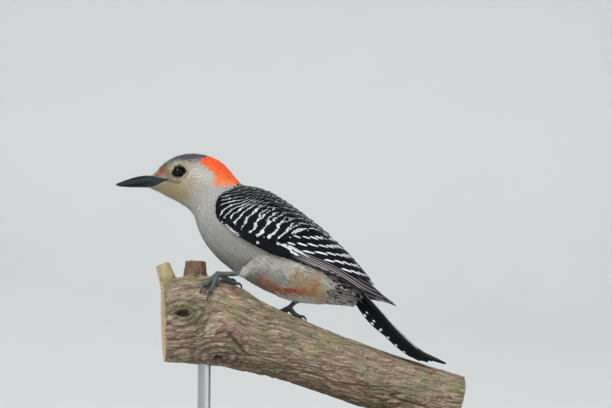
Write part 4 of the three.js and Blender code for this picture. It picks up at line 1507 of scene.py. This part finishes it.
def mandible(node, upper):
    """A mandible from the slices of its solid: an edge that meets its fellow, and a ridge or a keel."""
    points, faces = node_surface(node)
    front, back = points[:, 0].min() + 0.02, points[:, 0].max() - 3.0
    turn = np.linspace(0, math.pi, BILL_AROUND)
    side = np.cos(turn)
    ridge_groove = np.exp(-(((np.abs(turn - math.pi / 2) - 0.75) / 0.2) ** 2)) if upper else 0 * turn
    closing = np.linspace(-1, 1, 7)[1:-1]  # across the inner face
    rings = []
    for x in front + (BILL_END - front) * np.linspace(0, 1, BILL_STEPS) ** 1.35:
        low, high, half = slice_of(points, faces, min(x, back))
        edge, far = (low, high) if upper else (high, low)
        in_face = smoothstep(x, -97, -93.5)
        snug = smoothstep(x, -103, -98.5)
        if upper:
            far += (on_curve(x, BILL_WEDGE_TOP) - 0.1 - far) * smoothstep(x, -98, -94.5)
        else:
            far += 0.55 * (1 - in_face)
            far += (on_curve(x, BILL_WEDGE_FOOT) - far) * in_face
        edge += (GAPE_HEIGHT - edge) * smoothstep(x, -102, -97)
        z = edge + (far - edge) * np.sin(turn) ** (1.12 - 0.3 * in_face)
        free = np.abs(side) ** 0.86 * half - 0.1 * half * ridge_groove * np.abs(side)
        flush = face_at(x, z) * np.abs(side) ** 0.12 + 0.05
        y = np.sign(side) * (free * (1 - snug) + flush * snug)
        y = np.concatenate([y, closing * np.abs(y[0]) * 0.9])
        z = np.concatenate([z, np.full(len(closing), edge + (far - edge) * 0.1)])
        rings.append(np.stack([np.full(len(y), x), y, z], -1))
    rings = softened(np.array(rings), (1.0,))
    count = rings.shape[1]
    faces = grid_faces(BILL_STEPS, count, closed=True).tolist()
    faces += [list(range(count)), list(range((BILL_STEPS - 1) * count, BILL_STEPS * count))]
    return rings.reshape(-1, 3), faces


bill_finish = Finish("bill_horn", {"Roughness": 0.42, "Specular IOR Level": 0.16})
bill_place = bill_finish.place()
bill_grain = bill_finish.cloud(bill_finish.stretched(bill_place, (0, 0.06, 0), (0.12, 1.6, 1.6)), 1.0, 4)
bill_x, _, _ = bill_finish.parts(bill_place)
bill_paint = bill_finish.blend(bill_grain, (4, 5, 9), (19, 24, 34))
bill_paint = bill_finish.blend(bill_finish.rise(bill_x, -106, -92) * 0.4, bill_paint, (62, 72, 82))
bill_material = bill_finish.finished(bill_paint, bill_grain, 0.12)
for node, upper in (("bill_upper", True), ("bill_lower", False)):
    points, faces = mandible(node, upper)
    piece = mixed_mesh("mandible_" + ("upper" if upper else "lower"), points, faces, bill_material)
    piece.data.set_sharp_from_angle(angle=math.radians(40))
    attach(piece, "root")
    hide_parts(node)


# ---- The legs and claws ----
# Bare legs of grey scaled skin: broad scutes down the front of the shank and over the toes, fine
# grains behind and below. The claws are curved horn, black and glossy.
LEG_GRAIN = 0.2
LEG_GROWTH = 0.18
SCUTE_STEP = 1.35
CLAW_GRAIN = 0.12
CLAW_GROWTH = 0.12
TOES = ["hallux", "inner", "middle", "outer"]
SCUTES_FACE = np.array([-0.45, 0, 0.9])


def noise_at(places):
    """Smooth noise, from about -1 to 1, at each of some places."""
    return np.array([noise.noise(Vector(place)) for place in places])


leg_finish = Finish("leg_skin", {"Roughness": 0.5, "Specular IOR Level": 0.45})
leg_grain = leg_finish.cloud(leg_finish.place(), 3.5, 3)
# The paint is dark in the grooves between the scutes and grains and light on their crests, following the
# relief: painted shade and painted highlight.
leg_paint = leg_finish.blend(leg_finish.attribute("relief_shading"), (34, 37, 39), (98, 105, 105))
leg_paint = leg_finish.shaded(0.75 + 0.45 * leg_grain, leg_paint)
leg_material = leg_finish.finished(leg_paint, leg_grain, 0.12)
claw_finish = Finish("claw_horn", {"Roughness": 0.28, "Coat Weight": 0.2})
claw_grain = claw_finish.cloud(claw_finish.place(), 1.5, 3)
claw_paint = claw_finish.blend(claw_grain, (20, 21, 25), (62, 62, 66))
claw_material = claw_finish.finished(claw_paint, claw_grain, 0.06)
for side in ("left", "right"):
    hip, heel = np.array(LEG_HIPS[side], float), np.array(LEG_HEELS[side], float)
    shank_points, shank_faces = grown(node_surface("shank_" + side), LEG_GROWTH)
    off_heel = np.linalg.norm(shank_points - heel, axis=1)
    ankle = shank_points[np.argmax(off_heel)]
    into_thigh = smoothstep(2.5 - off_heel, -2, 0)
    shank_points = shank_points + into_thigh[:, None] * 2.2 * (hip - heel) / np.linalg.norm(hip - heel)
    foot = grown(node_surface("foot_" + side), LEG_GROWTH)
    points, faces = closed_form("leg", [(shank_points, shank_faces), foot], LEG_GRAIN, 6)
    facing = point_normals(points, faces)
    front = smoothstep(facing @ SCUTES_FACE, -0.3, 0.35)
    phase = np.linalg.norm(points - ankle, axis=1) / SCUTE_STEP % 1
    plate = np.minimum(phase / 0.75, (1 - phase) / 0.25) ** 0.6
    grains = noise_at(points * 1.9)
    height = front * (0.17 * plate - 0.08) + (1 - front) * 0.09 * grains
    # The paint follows this relief: dark in its grooves and light on its crests, painted shade and painted
    # highlight.
    scute_shading = np.clip(front * plate + (1 - front) * (0.35 + 0.4 * grains), 0, 1)
    points = points + facing * height[:, None]
    leg = mesh_object("leg_" + side, points, faces, leg_material, [("relief_shading", scute_shading)])
    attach(leg, "root")
    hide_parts("shank_" + side, "foot_" + side)
    claw_nodes = [f"claw_{toe}_{side}" for toe in TOES]
    horn = [grown(node_surface(node), CLAW_GROWTH) for node in claw_nodes]
    claws = mesh_object("claws_" + side, *closed_form("claw", horn, CLAW_GRAIN, 9), claw_material)
    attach(claws, "root")
    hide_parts(*claw_nodes)


# ---- The limb ----
# A length of a real branch, sawn across at both ends, with its fibrous bark on. The bark splits into
# long strips that peel at their edges; a broken knot and the stub of a twig stand up where it bends.
LIMB_GRAIN = 0.7
# Stages of the limb's middle line, each with its radius.
LIMB_STAGES = [
    (-88, 3, 101, 25),
    (-66, 2, 102, 27.5),
    (-50, 2, 98.4, 25.6),
    (-34.5, 2, 92.6, 22.4),
    (-3.5, 4, 82.6, 19.4),
    (46.6, 6, 65.3, 18.6),
    (96, 8, 51, 18.4),
]
STUBS = {
    "knot": {"foot": (-69, 2, 118), "top": (-68.6, 1, 138.5), "wide": 11.5},
    "twig": {"foot": (-82, 2, 116), "top": (-89, 1, 136), "wide": 9},
}
STUB_RUN = 300  # the grain of a stub starts here, apart from the limb's own
BARK_SPIRAL = 0.16
# Where lost branches have healed over, on the left side, and how wide each scar is.
KNOT_SCARS = [((-78, -23.5, 103.7), 1.0), ((-55.3, -11.5, 77.8), 0.9)]

limb_points, limb_faces = closed_form("limb", [node_surface("perch_limb")], LIMB_GRAIN, 6)
limb_facing = point_normals(limb_points, limb_faces)
stages = between(LIMB_STAGES, 200)
limb_radii = stages[:, 3]
limb_line, limb_way, limb_run = drawn_line(stages[:, :3], 10)


def round_a_line(points, foot, way):
    """Each point's height along a line, its distance from it, and its angle round it."""
    way = way / np.linalg.norm(way, axis=-1, keepdims=True)
    across = np.cross(way, [0, 1, 0])
    across /= np.linalg.norm(across, axis=-1, keepdims=True)
    other = np.cross(way, across)
    off = points - foot
    rise = (off * across).sum(-1)
    lean = (off * other).sum(-1)
    return (off * way).sum(-1), np.hypot(rise, lean), np.arctan2(lean, rise)


def grained(run_scale, turn, turn_scale, level=0.0):
    """Places for noise that is drawn out along the bark's fibres."""
    return np.stack([run * run_scale, turn * turn_scale, np.full_like(run, level)], -1)


parts = np.array_split(limb_points, 16)
closest = [np.argmin(np.linalg.norm(part[:, None] - limb_line, axis=2), axis=1) for part in parts]
closest = np.concatenate(closest)
_, limb_reach, limb_angle = round_a_line(limb_points, limb_line[closest], limb_way[closest])
run = limb_run[closest]
sawn = smoothstep(np.abs((limb_facing * limb_way[closest]).sum(-1)), 0.8, 0.95)
sawn *= smoothstep(np.minimum(run, limb_run[-1] - run), 1.2, 0.3)
around = limb_angle * 20
stub_shares, stub_tops = {}, {}
for name, stub in STUBS.items():
    foot, top = np.array(stub["foot"], float), np.array(stub["top"], float)
    length = np.linalg.norm(top - foot)
    height, reach, turn = round_a_line(limb_points, foot, top - foot)
    share = smoothstep(limb_reach - limb_radii[closest], 0.6, 2.2)
    share = share * smoothstep(stub["wide"] - reach, 0, 1.5) * (height > -4)
    run = np.where(share > 0.5, STUB_RUN + height, run)
    around = np.where(share > 0.5, turn * 7, around)
    facing_up = smoothstep((limb_facing @ (top - foot)) / length, 0.6, 0.85)
    stub_shares[name] = share
    stub_tops[name] = share * facing_up * smoothstep(length - height, 2.5, 0.8)
on_stub = np.maximum(*stub_shares.values())
broken = stub_tops["knot"]
sawn = np.maximum(sawn, stub_tops["twig"])

# The bark's relief: lumps, strips with seams between them, fibres, furrows, and the healed scars.
wander = noise_at(grained(0.035, around, 0.09, 3.1))
strand = around + BARK_SPIRAL * run + 3.5 * wander
fibre_places = grained(0.07, strand, 0.55)
coarse = noise_at(fibre_places)
middling = noise_at(fibre_places * [1.9, 2.3, 1] + [7, 3, 1])
fine_fibres = noise_at(fibre_places * [4, 5.2, 1] + [1, 9, 4])
lumps = noise_at(limb_points * 0.07)
strips = [noise.voronoi(Vector(place)) for place in grained(0.1, strand, 0.42)]
gap = np.array([distances[1] - distances[0] for distances, _ in strips])
middles = np.array([spots[0] for _, spots in strips]) * [9.7, 7.3, 0] + [0, 0, 0.5]
strip_tone = np.array([noise.cell(Vector(middle)) for middle in middles])
seam = 0.75 * smoothstep(0.14 - gap, 0, 0.12)
ripples, swell, pit = np.zeros((3, len(limb_points)))
for scar, size in KNOT_SCARS:
    off = np.linalg.norm((limb_points - scar) * [0.8, 0.8, 1.25], axis=1) / size
    off = off + 1.6 * coarse + 1.2 * wander
    ripples += smoothstep(19 - off, 0, 10) * (0.5 + 0.5 * np.sin(1.4 * off))
    swell += size * smoothstep(12 - off, 0, 8)
    pit += size * smoothstep(4.6 - off, 0, 3)
furrow = smoothstep(0.05 - np.abs(noise_at(grained(0.018, strand, 0.11, 8.3))), 0, 0.04)
# The furrows run only along the limb's lower side, where their dark paint is partly painted shade.
furrow = furrow * smoothstep(-0.1 - limb_facing[:, 2], -0.4, 0.4)
crack = np.clip(seam + smoothstep(0.07 - np.abs(middling), 0, 0.07) * 0.5, 0, 1)
crack = np.clip(crack + 0.9 * furrow + 0.8 * ripples + pit, 0, 1)
splinter = noise_at(limb_points * 0.55) + 0.6 * noise_at(limb_points * 1.3)
lift = 0.6 * lumps + 0.4 * strip_tone + 0.6 * coarse + 0.45 * middling + 0.3 * fine_fibres - 0.7 * crack
lift = lift - 1.1 * furrow - 0.8 * ripples + 1.3 * swell - 4.5 * pit
lift = lift * (1 - 0.45 * on_stub) * (1 - sawn)
lift = lift - 2.6 * broken * (0.7 + splinter)
lift = np.clip(lift, -3.5, 0.25 + 0.3 * on_stub + 0.9 * swell)

BARK_TONES = [
    (0.3, (74, 58, 46)),
    (0.42, (138, 118, 96)),
    (0.56, (178, 162, 140)),
    (0.7, (222, 212, 198)),
]
bark_finish = Finish("bark", {"Roughness": 0.88, "Specular IOR Level": 0.25})
fibres = bark_finish.attribute("strand", "Vector")
long_cloud = bark_finish.cloud(bark_finish.stretched(fibres, (0, 0, 0), (0.09, 0.75, 1)), 1.0, 4)
red_cloud = bark_finish.cloud(bark_finish.stretched(fibres, (0, 0, 0), (0.12, 0.75, 1)), 0.8, 3)
fine_cloud = bark_finish.cloud(bark_finish.stretched(fibres, (0, 0, 0), (0.4, 3, 1)), 1.0, 4)
moss_cloud = bark_finish.cloud(bark_finish.place(), 0.06, 3)
bark_paint = bark_finish.ramp(0.5 * long_cloud + 0.5 * fine_cloud, BARK_TONES)
red_share = bark_finish.rise(red_cloud, 0.53, 0.62) * bark_finish.rise(moss_cloud, 0.62, 0.42) * 0.55
moss_share = bark_finish.rise(moss_cloud, 0.5, 0.64) * 0.5
bark_paint = bark_finish.blend(red_share, bark_paint, (154, 96, 82))
bark_paint = bark_finish.blend(moss_share, bark_paint, (122, 126, 80))
bark_paint = bark_finish.shaded(0.88 + 0.2 * bark_finish.attribute("strip"), bark_paint)
ring_wave = bark_finish.maths("SINE", bark_finish.attribute("rings") * 2.4 + 3 * moss_cloud)
torn_wood = bark_finish.blend(fine_cloud, (66, 42, 28), (138, 92, 62))
sawn_wood = bark_finish.blend(0.5 + 0.5 * ring_wave, (186, 152, 110), (218, 190, 150))
# Cracks, seams, furrows, the ripples round the scars and the pits are painted dark: partly the bark's own
# darker crevices, partly painted shade in the hollows.
for where, most, paint in (
    ("crack", 0.6, (52, 42, 34)),
    ("pit", 0.85, (38, 28, 22)),
    ("knot", 0.8, torn_wood),
    ("twig", 0.75, (190, 172, 132)),
    ("sawn", 1, sawn_wood),
):
    bark_paint = bark_finish.blend(bark_finish.attribute(where) * most, bark_paint, paint)
limb = mesh_object(
    "limb",
    limb_points + limb_facing * lift[:, None],
    limb_faces,
    bark_finish.finished(bark_paint, fine_cloud, 0.35),
    [
        ("strand", np.stack([run, strand, np.zeros_like(run)], -1)),
        ("strip", strip_tone),
        ("crack", crack * (1 - sawn)),
        ("pit", pit),
        ("knot", np.maximum(broken, 0.8 * stub_shares["knot"])),
        ("twig", stub_shares["twig"]),
        ("rings", limb_reach),
        ("sawn", sawn),
    ],
)
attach(limb, "root")
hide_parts("perch_limb")


# ---- The display stand ----
# A dark stained and varnished wooden base with two brushed steel rods that rise into the limb.
wood_finish = Finish("stand_wood", {"Roughness": 0.42, "Coat Weight": 0.25, "Coat Roughness": 0.2})
wood_place = wood_finish.place()
_, wood_y, _ = wood_finish.parts(wood_place)
wood_wave = wood_finish.cloud(wood_finish.stretched(wood_place, (0, 0, 0), (0.012, 0.12, 0.12)), 1.0, 4)
wood_fine = wood_finish.cloud(wood_finish.stretched(wood_place, (0, 0, 0), (0.05, 1.4, 1.4)), 1.0, 3)
wood_ring = wood_finish.maths("SINE", wood_wave * 26 + wood_y * 0.12)
wood_tone = 0.5 + 0.3 * wood_ring + 0.3 * (wood_fine - 0.5)
wood_paint = wood_finish.blend(wood_tone, (58, 34, 22), (104, 66, 42))
wood_material = wood_finish.finished(wood_paint, wood_fine, 0.08)
steel_finish = Finish("stand_steel", {"Metallic": 1.0})
brushed = steel_finish.cloud(steel_finish.stretched(steel_finish.place(), (0, 0, 0), (0.5, 0.5, 12)), 1.0, 3)
steel_paint = steel_finish.blend(brushed, (168, 170, 172), (198, 200, 202))
steel_material = steel_finish.finished(steel_paint, brushed, 0.02, 0.26 + 0.14 * brushed)
for node, material in (
    ("stand_base", wood_material),
    ("stand_rod_front", steel_material),
    ("stand_rod_rear", steel_material),
):
    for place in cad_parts[node].material_slots:
        place.material = material
